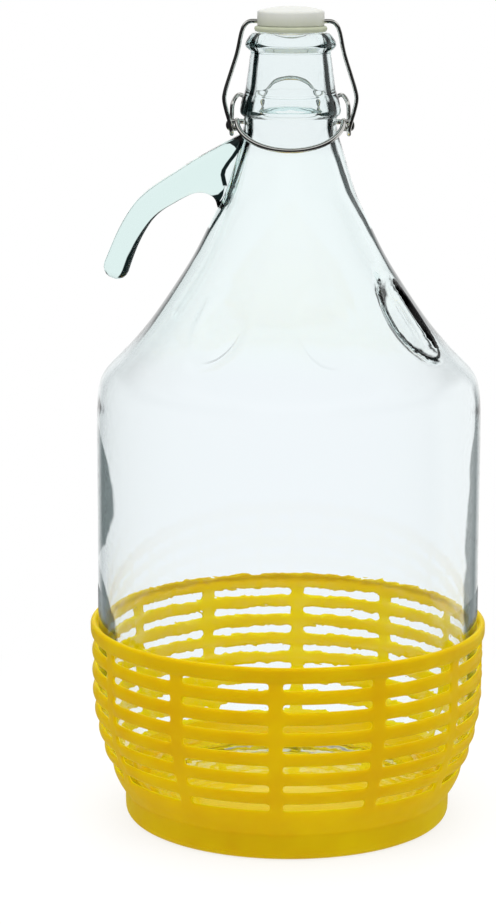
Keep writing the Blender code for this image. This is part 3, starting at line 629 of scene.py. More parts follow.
# %% Wire
wire, tree, shader = new_material("bright_wire", Metallic=1.0, Roughness=0.2)
steel = ramp(object_noise(tree, 300, 2.0), [(0.3, (0.6, 0.6, 0.57)), (0.7, (0.7, 0.7, 0.67))])
feed(shader.inputs["Base Color"], steel)
feed(shader.inputs["Roughness"], ramp(object_noise(tree, 500, 3.0), [(0.3, 0.07), (0.75, 0.17)]))
add_bump(tree, shader, object_noise(tree, 900, 2.0), 0.006 * MM, 0.5)
print("wire:", wire.name)

# %% [markdown]
# ## The bottle's outline
# The bottle is round, so its shape is one outline of radius and height, in millimetres: from the middle of the base out
# and up to the lip, and then down the inside. It could be drawn with hundreds of points. A smooth curve through a few
# given ones is easier to change, and corners are where two stretches meet.

# %% Smooth curves through points
def smooth(points, per_span):
    """Dense points on a smooth curve through the given ones (a centripetal spline)."""
    points = [np.array(point, float) for point in points]
    ends = [2 * points[0] - points[1]] + points + [2 * points[-1] - points[-2]]
    path = []
    for p0, p1, p2, p3 in zip(ends, ends[1:], ends[2:], ends[3:]):
        t0 = 0.0
        t1 = t0 + max(np.linalg.norm(p1 - p0), 1e-9) ** 0.5
        t2 = t1 + max(np.linalg.norm(p2 - p1), 1e-9) ** 0.5
        t3 = t2 + max(np.linalg.norm(p3 - p2), 1e-9) ** 0.5
        for t in np.linspace(t1, t2, per_span, endpoint=False):
            a1 = (t1 - t) / (t1 - t0) * p0 + (t - t0) / (t1 - t0) * p1
            a2 = (t2 - t) / (t2 - t1) * p1 + (t - t1) / (t2 - t1) * p2
            a3 = (t3 - t) / (t3 - t2) * p2 + (t - t2) / (t3 - t2) * p3
            b1 = (t2 - t) / (t2 - t0) * a1 + (t - t0) / (t2 - t0) * a2
            b2 = (t3 - t) / (t3 - t1) * a2 + (t - t1) / (t3 - t1) * a3
            path.append((t2 - t) / (t2 - t1) * b1 + (t - t1) / (t2 - t1) * b2)
    path.append(points[-1])
    return path


print("a straight line of two points becomes", len(smooth([(0, 0), (1, 0)], 4)), "points")

# %% [markdown]
# ## The bottle's stretches
# The outside was read from the photograph: heel, body with shoulder and cone, collar, neck and lip. The bore and the
# punt can't be seen. They are drawn as such bottles have them, with a wall of 3.4 mm that is thicker at the neck.

# %% Stretches of the bottle's outline
FLOOR = 11.8
heel = [(64.8, FLOOR), (67.6, 12.3), (70.6, 14.0), (72.5, 16.2), (73.9, 18.6), (76.2, 24.3), (79.1, 32.6),
        (81.9, 43.2), (83.15, 50.5), (83.8, 57.5), (84.0, 64)]
body = [(84.0, 64), (84.0, 120), (84.0, 178), (83.75, 187), (83.2, 192.6), (81.9, 197.6), (79.9, 201.0),
        (77.1, 204.2), (70.3, 210.9), (61.0, 221.8), (50.3, 237.2), (41.5, 251.3), (33.2, 268.0), (28.9, 277.3),
        (25.6, 287.2), (22.1, 298.9), (20.5, 304.5), (20.05, 307.5), (20.1, 311.0)]
collar = [(20.1, 311.0), (20.8, 311.5), (21.5, 312.3), (21.75, 313.4), (21.6, 315.0), (21.15, 317.3), (20.5, 319.8),
          (19.85, 320.9)]
neck = [(19.85, 320.9), (19.3, 323.2), (18.55, 328.5), (17.75, 334.5), (17.25, 338.2)]
lip = [(17.25, 338.2), (17.5, 339.0), (18.5, 339.9), (19.45, 341.1), (19.5, 342.0), (18.9, 343.7), (17.6, 345.5),
       (16.5, 346.5), (15.6, 346.8)]
mouth = [(14.1, 346.8), (13.6, 346.4), (13.5, 345.5)]
bore = [(13.5, 345.5), (13.5, 341), (13.75, 337), (14.5, 330), (15.2, 323), (16.2, 315), (16.9, 308), (17.5, 303.2),
        (18.6, 298.2), (22.1, 286.3), (25.4, 276.1), (29.8, 266.6), (38.4, 249.7), (47.3, 235.4), (58.2, 219.7),
        (67.7, 208.4), (74.6, 201.8), (77.3, 198.8), (79.3, 195.0), (80.3, 190.6), (80.6, 184), (80.6, 120),
        (80.6, 64), (80.4, 57.8), (79.8, 51), (78.6, 44), (75.9, 33.6), (73.0, 25.4), (70.8, 20.6), (67.5, 17.8),
        (62.0, 16.9), (56.5, 17.4), (48, 19.3), (32, 21.8), (15, 23.1), (0, 23.3)]
punt = [(0, 18.8), (15, 18.5), (32, 17.0), (46, 14.6), (54, 12.5), (58, FLOOR)]

outside_profile = []
for stretch, dense in ((punt, 3), (heel, 3), (body, 7), (collar, 4), (neck, 3), (lip, 4), (mouth, 3)):
    curve = smooth(stretch, dense)
    outside_profile += curve if stretch in (punt, neck, lip) else curve[:-1]
inside_profile = smooth(bore, 3)
glass_profile = [tuple(point) for point in outside_profile + inside_profile]
glass_profile = [p for p, q in zip(glass_profile, glass_profile[1:] + [(-1, -1)]) if math.dist(p, q) > 1e-6]
print("points in the glass section:", len(glass_profile))

# %% [markdown]
# ## Turning a round piece
# Bottle, basket, cap and gasket are all turned, as on a lathe. The Screw modifier could do it, but the spin operator
# gives the mesh at once, so that it can be shaped further. A full spin has use_merge, which closes the seam. Points on
# the axis are merged into one pole.

# %% Turned pieces
def turned(profile, steps):
    """Spin a half section about Z. It is a closed ring, or its first and last points lie on the axis."""
    bm = bmesh.new()
    line = [bm.verts.new((radius * MM, 0, height * MM)) for radius, height in profile]
    edges = [bm.edges.new(pair) for pair in zip(line, line[1:])]
    if profile[0][0] > 1e-9:
        edges.append(bm.edges.new((line[-1], line[0])))
    bmesh.ops.spin(bm, geom=line + edges, cent=(0, 0, 0), axis=(0, 0, 1), angle=math.tau, steps=steps,
                   use_merge=True)
    bmesh.ops.remove_doubles(bm, verts=[vert for vert in bm.verts if math.hypot(vert.co.x, vert.co.y) < 1e-6],
                             dist=1e-6)
    bmesh.ops.recalc_face_normals(bm, faces=bm.faces)
    return bm


def part_of(name, bm):
    """An object made of a bmesh."""
    mesh = bpy.data.meshes.new(name)
    bm.to_mesh(mesh)
    bm.free()
    part = bpy.data.objects.new(name, mesh)
    scene.collection.objects.link(part)
    return part


BOTTLE_STEPS = 240
bottle_bm = turned(glass_profile, BOTTLE_STEPS)
print("bottle faces:", len(bottle_bm.faces))

# %% [markdown]
# ## Pressing the finger recesses
# On the real bottle the mould presses the recesses in, and the glass behind follows, so that the wall keeps its
# thickness. A boolean would cut into the wall. Moving the points of both skins in the same direction keeps it even.
# Each recess is a dish with a slightly raised rim.

# %% Recesses in the bottle
RIM_AT, RIM_BROAD, RIM_HIGH_SHARE, FAR_AWAY = 1.05, 0.08, 0.1, 9.0


def press_recesses(points):
    """The points, an array in metres, with the recesses pressed in."""
    points = points.copy()
    for turn, deep, steep in RECESSES:
        middle, across, along, into = recess_axes(turn)
        offset = points - middle
        reach = np.hypot(offset @ across / (RECESS_WIDE / 2), offset @ along / (RECESS_LONG / 2))
        reach = np.where(np.abs(offset @ into) < RECESS_WIDE / 2, reach, FAR_AWAY)
        dish = np.clip((1 - reach ** 2) * steep, 0, 1)
        dish = dish * dish * (3 - 2 * dish)
        rim = np.exp(-((reach - RIM_AT) / RIM_BROAD) ** 2) * RIM_HIGH_SHARE
        points += np.outer((dish - rim) * deep, into)
    return points


smooth_places = np.array([vert.co for vert in bottle_bm.verts])
pressed_places = press_recesses(smooth_places)
for vert, pressed in zip(bottle_bm.verts, pressed_places):
    vert.co = pressed
bottle_part = part_of("bottle_part", bottle_bm)
print("deepest point pressed in by", round(float(np.abs(pressed_places - smooth_places).max()) / MM, 2), "mm")

# %% [markdown]
# ## Sweeping a section along a path
# The handle and the wires keep nearly the same section along a bent path. A curve object with a bevel could make them,
# but its section can't flare as the handle's does. Here a ring of edges is extruded from frame to frame. A frame is a
# matrix that places the section, turns it and gives its size.

# %% Swept pieces
def frame_at(place, across, wide, high, broad):
    """The matrix of a section: its middle in millimetres, its two directions and its two half sizes."""
    across, wide = Vector(across), Vector(wide)
    turn = Matrix((across * high, wide * broad, across.cross(wide))).transposed().to_4x4()
    return Matrix.Scale(MM, 4) @ Matrix.Translation(place) @ turn


def swept(frames, sides, shape=lambda c, s: (c, s)):
    """Extrude a ring of edges from frame to frame. The shape bends the circle into another section."""
    bm = bmesh.new()
    ring = bmesh.ops.create_circle(bm, segments=sides, radius=1)["verts"]
    for vert in ring:
        across, wide = shape(vert.co.x, vert.co.y)
        vert.co = frames[0] @ Vector((across, wide, 0))
    edges = list(bm.edges)
    bmesh.ops.contextual_create(bm, geom=edges)
    for low, high in zip(frames, frames[1:]):
        extruded = bmesh.ops.extrude_edge_only(bm, edges=edges)["geom"]
        edges = [item for item in extruded if isinstance(item, bmesh.types.BMEdge)]
        bmesh.ops.transform(bm, matrix=high @ low.inverted(), space=Matrix(),
                            verts=[item for item in extruded if isinstance(item, bmesh.types.BMVert)])
    bmesh.ops.contextual_create(bm, geom=edges)
    bmesh.ops.recalc_face_normals(bm, faces=bm.faces)
    return bm


print("sweeping ready")

# %% [markdown]
# ## The handle's line
# The handle is a hook of solid glass that grows out of the neck with a broad root and bends down into a leg. Its root
# is given by the upper and lower edges that the photograph shows, and the rest by its middle line and half thickness.

# %% Line of the handle
root_edges = [((-14.0, 307.6), (-24.0, 270.0)), ((-22.3, 303.0), (-30.4, 270.6)), ((-27.0, 300.4), (-32.3, 275.2)),
              ((-31.8, 297.8), (-34.4, 277.2)), ((-37.1, 294.9), (-37.6, 278.2)), ((-43.4, 291.1), (-41.2, 278.0)),
              ((-49.0, 287.5), (-45.0, 276.4)), ((-54.7, 283.9), (-49.5, 273.9))]       # (x, z) above and below
leg_line = [(-58.1, 274.9, 5.4), (-62.5, 270.8, 5.35), (-66.3, 265.4, 5.35), (-69.8, 258.9, 5.4),
            (-72.5, 252.5, 5.5), (-74.9, 246.2, 5.7)]                                   # x, z, half thickness
ROUND_END = (0.35, 0.62, 0.82, 0.94, 0.99)

places = [((a + c) / 2, (b + d) / 2) for (a, b), (c, d) in root_edges] + [(x, z) for x, z, _ in leg_line]
halves = [math.dist(upper, lower) / 2 for upper, lower in root_edges] + [half for _, _, half in leg_line]
directions = [(a - c, b - d) for (a, b), (c, d) in root_edges]
for before, after in zip(places[len(root_edges) - 1:], places[len(root_edges) + 1:] + places[-1:]):
    directions.append((-abs(before[1] - after[1]), abs(after[0] - before[0])))
handle_line = [(x, z, half, across_x / math.hypot(across_x, across_z), across_z / math.hypot(across_x, across_z))
               for (x, z), half, (across_x, across_z) in zip(places, halves, directions)]
stations = smooth(handle_line, 6)
tip = stations[-1]
heading = stations[-1][:2] - stations[-2][:2]
heading /= np.linalg.norm(heading)
for share in ROUND_END:
    shrink = math.sqrt(1 - share ** 2)
    stations.append((*(tip[:2] + heading * tip[2] * share), tip[2] * shrink, *tip[3:]))
print("stations along the handle:", len(stations))

# %% [markdown]
# ## The handle's solid
# The handle's section is a rectangle with well rounded sides. A circle is bent into it by powers below one, which push
# its points towards the corners.

# %% Solid of the handle
HANDLE_WIDE, HANDLE_SIDES = 6.5, 40
handle_frames = []
for index, (x, z, half, across_x, across_z) in enumerate(stations):
    wide = HANDLE_WIDE * (1 if index < len(stations) - len(ROUND_END) else half / tip[2])
    handle_frames.append(frame_at((x, 0, z), Vector((across_x, 0, across_z)).normalized(), (0, 1, 0), half, wide))
handle_bm = swept(handle_frames, HANDLE_SIDES,
                  lambda c, s: (math.copysign(abs(c) ** 0.5, c), math.copysign(abs(s) ** 0.4, s)))
handle_part = part_of("handle_part", handle_bm)
print("handle faces:", len(handle_part.data.polygons))

# %% [markdown]
# ## One piece of glass
# In the real bottle handle and neck are fused. Two meshes that only overlap would show both skins inside the glass. An
# exact boolean union joins them. Before that the middle of the wall cuts the handle off, so that none of it shows
# inside the neck.

# %% Handle and bottle joined
CORE_OUT, CORE_UP, CORE_STEPS = 1.9, 0.6, 96


def cut_or_join(base, other, operation):
    """Let a boolean modifier work on the base, and keep its result as the base's mesh."""
    modifier = base.modifiers.new(operation, "BOOLEAN")
    modifier.object = other
    modifier.operation = operation
    modifier.solver = "EXACT"
    graph = bpy.context.evaluated_depsgraph_get()
    mesh = bpy.data.meshes.new_from_object(base.evaluated_get(graph))
    base.modifiers.clear()
    base.data = mesh


core_line = [(radius + CORE_OUT, height + CORE_UP) for radius, height in smooth(bore[5:12], 4)]
core_part = part_of("core_part", turned([(0, core_line[0][1])] + core_line + [(0, core_line[-1][1])], CORE_STEPS))
cut_or_join(handle_part, core_part, "DIFFERENCE")
cut_or_join(bottle_part, handle_part, "UNION")
glass_bm = bmesh.new()
glass_bm.from_mesh(bottle_part.data)
for part in (bottle_part, handle_part, core_part):
    bpy.data.objects.remove(part)
print("faces of bottle and handle:", len(glass_bm.faces))

# %% [markdown]
# ## Which faces are inside
# The material needs to know the inside of the bottle from its outside. The inside could have a second material, but
# closed glass has only one. So an attribute marks its faces: they face the axis, or upwards, and lie within the wall.

# %% Inside faces
WALL_MIDDLE, LIP_TOP = 1.2, 346.4
inner_line = np.array(sorted((height, radius) for radius, height in inside_profile))
is_inside = []
for face in glass_bm.faces:
    centre = face.calc_center_median()
    radius, height = math.hypot(centre.x, centre.y) / MM, centre.z / MM
    facing_axis = face.normal.x * centre.x + face.normal.y * centre.y < 0 or face.normal.z > 0.9
    limit = np.interp(height, inner_line[:, 0], inner_line[:, 1])
    is_inside.append(float(facing_axis and radius < limit + WALL_MIDDLE and height < LIP_TOP))
print("inside faces:", int(sum(is_inside)))

# %% [markdown]
# ## The dark band along the handle's leg
# The leg's inner side shows a dark band of painted shade that gets broader downwards. It follows the bent leg, which a
# sum on X and Z can't do well. So each point near the leg is measured from the nearest station of its line, and a value
# per point, which fades smoothly, marks the painted band for the material.

# %% Leg band
LEG_RIGHT, LEG_LOW, LEG_HIGH, LEG_BROADENS = -55 * MM, 235 * MM, 272.5 * MM, 22 * MM
BAND_LEAST, BAND_MORE, BAND_SOFT = 0.1, 0.4, 0.15           # shares of the leg's half thickness
FLANK_FROM, FLANK_SOFT = 3, 1.5                             # millimetres from the handle's middle plane
in_leg_band = np.zeros(len(glass_bm.verts))
middles = np.array([station[:2] for station in stations]) * MM
for index, (x, y, z) in enumerate(np.array([vert.co for vert in glass_bm.verts])):
    if x < LEG_RIGHT and LEG_LOW < z < LEG_HIGH:
        station = int(np.argmin(np.hypot(middles[:, 0] - x, middles[:, 1] - z)))
        _, _, half, across_x, across_z = stations[station]
        offset = ((x - middles[station, 0]) * across_x + (z - middles[station, 1]) * across_z) / (half * MM)
        band = BAND_LEAST + BAND_MORE * min(max((LEG_HIGH - z) / LEG_BROADENS, 0), 1)
        on_flank = min(max((abs(y) / MM - FLANK_FROM) / FLANK_SOFT, 0), 1)
        in_leg_band[index] = on_flank * min(max((band - 1 - offset) / BAND_SOFT + 0.5, 0), 1)
print("points in the leg's dark band:", int((in_leg_band > 0.5).sum()))

# %% [markdown]
# ## The glass piece
# Each finished piece rides on its moving body and stands for the CAD nodes that it hides. Smooth shading hides the
# facets, and edges sharper than a given angle stay crisp. Bottle and handle are one visible piece, as in reality.

# %% Glass piece
def add_piece(name, bm, material, body, slot, *nodes, smooth_angle=None):
    """Make an object of a bmesh, let it ride on its body, and let it stand for its CAD nodes."""
    piece = part_of(name, bm)
    piece.data.shade_smooth()
    if smooth_angle:
        piece.data.set_sharp_from_angle(angle=math.radians(smooth_angle))
    piece.data.materials.append(material)
    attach(piece, body)
    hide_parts(*nodes)
    return piece


glass = add_piece("demijohn_glass", glass_bm, glass_clear, "bottle_body", "clear_glass", "glass_bottle",
                  "glass_handle", smooth_angle=50)
glass.data.attributes.new("inside", "FLOAT", "FACE").data.foreach_set("value", is_inside)
glass.data.attributes.new("leg_band", "FLOAT", "POINT").data.foreach_set("value", in_leg_band)
glass.data.calc_loop_triangles()
print("glass triangles:", len(glass.data.loop_triangles))

# %% [markdown]
# ## The basket: its measures
# The basket is one moulding: twelve upright ribs, and rings between them with seven rows of slots. It could be built of
# separate bars, but they would meet in seams. Here it is one closed skin, turned like the bottle, with the slots cut
# out of it afterwards. The wall's outside follows a bowl that steepens to the rim.

# %% Measures of the basket
RIBS, RIB_TURN, RIB_WIDE = 12, -3.2, 6.0
SLOTS, SLOT_PITCH, SLOT_HIGH = 7, 9.1, 3.2
RIM_TOP, RIM_HIGH = 89.5, 7.2
WALL = 2.2
BOWL_LOW, BOWL_HIGH = 11.5, 64
BOWL_FOOT, BOWL_RIM = 72.3, 86.7


def bowl(height):
    """The outer radius of the wall at a height."""
    share = min(max((height - BOWL_LOW) / (BOWL_HIGH - BOWL_LOW), 0), 1)
    return BOWL_FOOT + (BOWL_RIM - BOWL_FOOT) * math.sin(math.pi / 2 * share ** 0.85)


slot_tops = [RIM_TOP - RIM_HIGH - row * SLOT_PITCH for row in range(SLOTS)]
print("slots start at", [round(top, 1) for top in slot_tops], "mm")

# %% [markdown]
# ## The basket: rows up the inside
# The outline is a list of rows. Each has a radius, a height, how much it swells between the ribs, and a tag where it is
# a slot's edge. It starts in the middle of the floor and runs up the inside wall, which is plain but for the slots.

# %% Inner rows of the basket
rows = [(radius, BOWL_LOW, 0, "") for radius in (0.0, 20, 40, 58, 66, 69)]
rows.append((bowl(BOWL_LOW) - WALL - 0.4, 11.7, 0, ""))
rows += [(bowl(height) - WALL, height, 0, "") for height in (13.2, 16, 19.5)]
for index in reversed(range(SLOTS)):
    top, bottom = slot_tops[index], slot_tops[index] - SLOT_HIGH
    rows += [(bowl(bottom) - WALL, bottom - 0.8, 0.0, ""),
             (bowl(bottom) - WALL + 0.25, bottom, 0.0, f"in_low{index}"),
             (bowl(top) - WALL + 0.25, top, 0.0, f"in_high{index}"),
             (bowl(top) - WALL, top + 0.8, 0.0, "")]
rows.append((84.5, RIM_TOP - 3.5, 0, ""))
rows_inside = len(rows) - 1
print("rows up the inside:", len(rows))

# %% [markdown]
# ## The basket: rows over the rim and down the outside
# The rim is rounded over. Below it each ring has a round section that swells between the ribs. A band without slots
# follows, then a foot with a rounded edge, and the hollow under the floor.

# %% Outer rows of the basket
RING_SHAPE = ((0.1, -0.5), (0.28, -0.08), (0.5, 0.1), (0.72, -0.05), (0.9, -0.45))     # share of the way down, out
FOOT_RADIUS, FOOT_ROUND = 67.8, 4.5
for angle in (180, 150, 120, 90, 60, 30, 0, -20):
    turn = math.radians(angle)
    rows.append((86.0 + 1.5 * math.cos(turn), RIM_TOP - 1.7 + 1.7 * math.sin(turn), 0, ""))
rows += [(87.5, RIM_TOP - 4.4, 0, ""), (87.2, RIM_TOP - 5.9, 0, "")]
for index, top in enumerate(slot_tops):
    if index:
        above = slot_tops[index - 1] - SLOT_HIGH
        for down, out in RING_SHAPE:
            height = above + (top - above) * down
            rows.append((bowl(height) + out, height, 1.0, ""))
    rows.append((bowl(top) - (1.0 if index else 0.3), top, 0.6 if index else 0.0, f"out_high{index}"))
    rows.append((bowl(top - SLOT_HIGH) - 1.05, top - SLOT_HIGH, 0.6, f"out_low{index}"))
rows += [(bowl(height) + out, height, 0, "") for height, out in (
    (22.6, -0.35), (21.0, 0.0), (18.5, 0.05), (16.0, 0.0), (13.9, -0.25), (12.6, -0.5), (11.7, -0.35), (10.6, 0.0))]
for angle in (0, 22, 45, 68, 90):
    turn = math.radians(angle)
    rows.append((FOOT_RADIUS + FOOT_ROUND * math.cos(turn), FOOT_ROUND * (1 - math.sin(turn)), 0, ""))
rows += [(radius, height, 0, "") for radius, height in (
    (66.4, 0.0), (65.7, 0.5), (65.7, 4.5), (65.6, 8.4), (65.0, 9.0), (45.0, 9.0), (20.0, 9.0), (0.0, 9.0))]
print("rows in all:", len(rows))

# %% [markdown]
# ## The basket: columns
# Round the basket, each of twelve sectors has a few narrow columns for its rib and more for its window, closer together
# near the rib, where the slots' ends are round. Each column is an angle and how far it is from the ribs beside it.

# %% Columns of the basket
RIB_CELLS, WINDOW_CELLS = 4, 12
per_sector = RIB_CELLS + WINDOW_CELLS
rib_turn = math.degrees(RIB_WIDE / BOWL_RIM)
columns = []
for sector in range(RIBS):
    start = RIB_TURN - 90 + sector * 360 / RIBS - rib_turn / 2
    for cell in range(RIB_CELLS):
        columns.append((start + rib_turn * (0.5 - 0.5 * math.cos(math.pi * cell / RIB_CELLS)), 0.0))
    for cell in range(WINDOW_CELLS):
        share = 0.5 - 0.5 * math.cos(math.pi * (cell * 0.84 + 0.96) / WINDOW_CELLS) if cell else 0.0
        columns.append((start + rib_turn + (360 / RIBS - rib_turn) * share, math.sin(math.pi * share)))
print("columns:", len(columns))

# %% [markdown]
# ## The basket: turned and shaped
# The outline is spun with as many steps as there are columns. Each point then finds its row and column again, and moves
# to its own angle and radius. So the rings swell between the ribs, and the ribs stay even.

# %% Shape of the basket
RIB_OUT, SWELL_MOST, SWELL_LEAST = -0.45, 0.55, -0.25
basket_bm = turned([row[:2] for row in rows], len(columns))
row_places = np.array([row[:2] for row in rows])
home = {}                                   # each point's row and column
for vert in basket_bm.verts:
    spot = np.array((math.hypot(vert.co.x, vert.co.y), vert.co.z)) / MM
    column = round(math.atan2(vert.co.y, vert.co.x) / math.tau * len(columns)) % len(columns)
    home[vert] = (int(np.argmin(((row_places - spot) ** 2).sum(axis=1))), column)
for vert, (row, column) in home.items():
    radius, height, swell, _ = rows[row]
    angle, middle = columns[column]
    if swell and column % per_sector <= RIB_CELLS:
        radius = bowl(height) + RIB_OUT
    elif swell:
        radius += swell * (SWELL_MOST * middle ** 0.7 + SWELL_LEAST)
    angle = math.radians(angle)
    vert.co = Vector((radius * math.cos(angle), radius * math.sin(angle), height)) * MM
print("basket points:", len(home))

# %% [markdown]
# ## The basket: slots
# A slot goes through both skins of the wall. A boolean for each of the 84 would be slow and leave odd edges. Instead
# the faces between a slot's tagged rows are deleted on both skins, and each pair of openings is bridged.

# %% Slots of the basket
tags = {tag: index for index, (_, _, _, tag) in enumerate(rows) if tag}
slot_of_row = {}
for index in range(SLOTS):
    slot_of_row[tags[f"in_low{index}"]] = slot_of_row[tags[f"out_high{index}"]] = index
cut, openings = [], {}
for face in basket_bm.faces:
    row = min(home[vert][0] for vert in face.verts)
    cells = sorted(home[vert][1] for vert in face.verts)
    cell = len(columns) - 1 if cells[0] == 0 and cells[-1] == len(columns) - 1 else cells[0]
    if row in slot_of_row and len(face.verts) == 4 and cell % per_sector >= RIB_CELLS:
        cut.append(face)
        edges = openings.setdefault((slot_of_row[row], cell // per_sector), set())
        for edge in face.edges:
            edges.symmetric_difference_update({edge})
bmesh.ops.delete(basket_bm, geom=cut, context="FACES")
for edges in openings.values():
    bmesh.ops.bridge_loops(basket_bm, edges=list(edges))
bmesh.ops.recalc_face_normals(basket_bm, faces=basket_bm.faces)
print("slots:", len(openings), "open edges left:", sum(edge.is_boundary for edge in basket_bm.edges))

# %% [markdown]
# ## The basket piece
# One level of subdivision rounds the bars and the slots' ends. An attribute marks the inner rows for the brighter inner
# colour, which is painted light.

# %% Basket piece
basket_bm.verts.index_update()
inner_share = np.zeros(len(basket_bm.verts))
for vert, (row, _) in home.items():
    inner_share[vert.index] = 0.0 if row > rows_inside else 1.0
basket = add_piece("basket_lattice", basket_bm, plastic, "basket_body", "basket_yellow", "basket")
basket.data.attributes.new("inner", "FLOAT", "POINT").data.foreach_set("value", inner_share)
rounding = basket.modifiers.new("rounding", "SUBSURF")
rounding.levels = rounding.render_levels = 1
print("basket faces before rounding:", len(basket.data.polygons))

# %% [markdown]
# ## The stopper's cap
# The cap has a straight side, a soft edge and a low dome. Its short stem reaches into the gasket, and a bore from side
# to side holds the ends of the bail. The cap is turned, and a thin cylinder cuts the bore.

# %% Cap
CAP_STEPS, BORE_HIGH, BORE_RADIUS, BORE_LONG = 96, 351.6, 1.25, 34
cap_profile = [(0, 346.7), (7.6, 346.7), (8.0, 346.9), (8.0, 347.5), (8.0, 349.7), (13.9, 349.7), (14.35, 349.9),
               (14.4, 350.4), (14.4, 355.1), (14.3, 355.6), (14.0, 356.0), (13.4, 356.3), (12.2, 356.6),
               (9.8, 357.15), (7.0, 357.6), (4.0, 357.9), (0, 358.0)]
cap_part = part_of("cap_part", turned(cap_profile, CAP_STEPS))
bore_bm = bmesh.new()
bmesh.ops.create_cone(bore_bm, cap_ends=True, segments=32, radius1=BORE_RADIUS * MM, radius2=BORE_RADIUS * MM,
                      depth=BORE_LONG * MM,
                      matrix=Matrix.Translation((0, 0, BORE_HIGH * MM)) @ Matrix.Rotation(math.pi / 2, 4, "Y"))
bore_part = part_of("bore_part", bore_bm)
cut_or_join(cap_part, bore_part, "DIFFERENCE")
cap_bm = bmesh.new()
cap_bm.from_mesh(cap_part.data)
for part in (cap_part, bore_part):
    bpy.data.objects.remove(part)
cap = add_piece("stopper_cap", cap_bm, cap_plastic, "stopper_body", "stopper_white", "stopper_head",
                smooth_angle=38)
print("cap faces:", len(cap.data.polygons))

# %% [markdown]
# ## The gasket
# The gasket is a soft ring between cap and lip, with a bulging edge. It is drawn unsqueezed, a little above the lip. It
# is turned as a closed ring, so that it keeps its hole for the stem.

# %% Gasket
gasket_profile = [(8.3, 346.8), (11.9, 346.8), (12.5, 346.9), (12.9, 347.05), (14.6, 347.1), (15.2, 347.35),
                  (15.55, 348.1), (15.6, 348.7), (15.4, 349.2), (14.9, 349.5), (14.2, 349.66), (8.3, 349.66)]
gasket = add_piece("gasket_ring", turned(gasket_profile, CAP_STEPS), rubber, "stopper_body", "gasket_cream",
                   "stopper_gasket", smooth_angle=38)
print("gasket faces:", len(gasket.data.polygons))

# %% [markdown]
# ## Wires
# Both wires are round and bent in several planes. A section that follows such a path tends to twist. Here each frame
# takes its direction from the one before, less what points along the wire, so it never twists. The ends are rounded.

# %% Tubes for the wires
END_CAP, END_SLOPE = (0.35, 0.8), (0.1575, 0.35)      # sizes of the two end rings, and how far in the next rings are


def tube(path, radius, sides=14):
    """Carry a circle along a path in millimetres without twisting it, with rounded ends."""
    path = [Vector(point) for point in path]
    up = (path[1] - path[0]).orthogonal().normalized()
    start, end = (path[1] - path[0]).normalized(), (path[-1] - path[-2]).normalized()
    small, nearly = END_CAP
    rings = [(path[0], start, radius * small), (path[0] + start * radius * END_SLOPE[0], start, radius * nearly)]
    for index, point in enumerate(path):
        before, after = path[max(index - 1, 0)], path[min(index + 1, len(path) - 1)]
        shift = start * radius * END_SLOPE[1] if index == 0 else Vector()
        rings.append((point + shift, (after - before).normalized(), radius))
    rings += [(path[-1] + end * radius * 0.04, end, radius * nearly),
              (path[-1] + end * radius * 0.13, end, radius * small)]
    frames = []
    for point, direction, size in rings:
        up = (up - direction * up.dot(direction)).normalized()
        frames.append(frame_at(point, up, direction.cross(up), size, size))
    return swept(frames, sides)


print("tubes ready")

# %% [markdown]
# ## The closing lever
# The lever is one wire. Its ends turn in two dimples of the neck. From each the wire runs out, folds back below itself
# to make the crank that the bail's hook turns on, and rises to the bow at the front. Only the right half is drawn, and
# the left is its mirror image.

# %% Lever
PIN, CRANK = 308.8, 305.8
WEB_X, FOLD_X = 22.8, 25.7
BOW_REACH, BOW_DROP = 23.2, math.radians(28.7)
LEVER_END = ((18.8, 0, PIN), (21, 0, PIN), (23, 0, PIN))


def mirrored(half, end):
    """The whole path of a wire, from its right half and its straight right end."""
    whole = half + [(-x, y, z) for x, y, z in half[-2::-1]]
    return [*end, *(tuple(point) for point in smooth(whole, 4)), *((-x, y, z) for x, y, z in reversed(end))]


lever_half = [(24.6, 0, PIN), (FOLD_X, 0, PIN)]
for angle in (60, 30, 0, -30, -60):
    turn = math.radians(angle)
    lever_half.append((FOLD_X + 0.95 * math.cos(turn), 0, PIN - 1.5 + 1.5 * math.sin(turn)))
lever_half += [(FOLD_X, 0, CRANK), (24.0, 0, CRANK), (WEB_X, -1.61, CRANK + 0.31), (WEB_X, -3.13, CRANK + 1.4),
               (WEB_X, -3.96, CRANK + 2.73)]
for turn in np.linspace(0, math.pi / 2, 11):
    reach = BOW_REACH * math.sin(turn)
    lever_half.append((WEB_X * math.cos(turn), -4.6 - reach * math.cos(BOW_DROP),
                       PIN + 0.9 - reach * math.sin(BOW_DROP)))
lever = add_piece("lever_bow", tube(mirrored(lever_half, LEVER_END), 1.1), wire, "lever_body", "wire_steel",
                  "lever_wire")
print("lever faces:", len(lever.data.polygons))

# %% [markdown]
# ## The bail
# The bail is the second wire. Its ends turn in the cap. Its arms run down to hooks round the lever's cranks, and its
# hoop passes behind the neck with an arch. When the lever rises, its cranks lift the bail, and that lifts the stopper.

# %% Bail
CROSS = 351.6
HOOK_X, HOOK_R, TAIL = 25.2, 2.35, 5.05
DIP, ARCH, HOOP = CRANK + 7.8, CRANK + 19.3, 25.45
BAIL_END = ((9.5, 0, CROSS), (12, 0, CROSS), (14.7, 0, CROSS))
# Shares of the arm's way out, of the hook's reach ahead and of the height over the crank
ARM = ((-0.068, 0.0, 0.987), (0.13, 0.05, 0.935), (0.4, 0.2, 0.703), (0.7, 0.5, 0.513), (0.95, 0.8, 0.35),
       (1.0, 0.9, 0.28), (0.888, 1.0, 0.168), (0.759, 1.0, 0.08))
TAIL_SHAPE = ((0.64, -0.22), (0.96, 0.12), (1.1, 0.55), (1.19, 1.2))
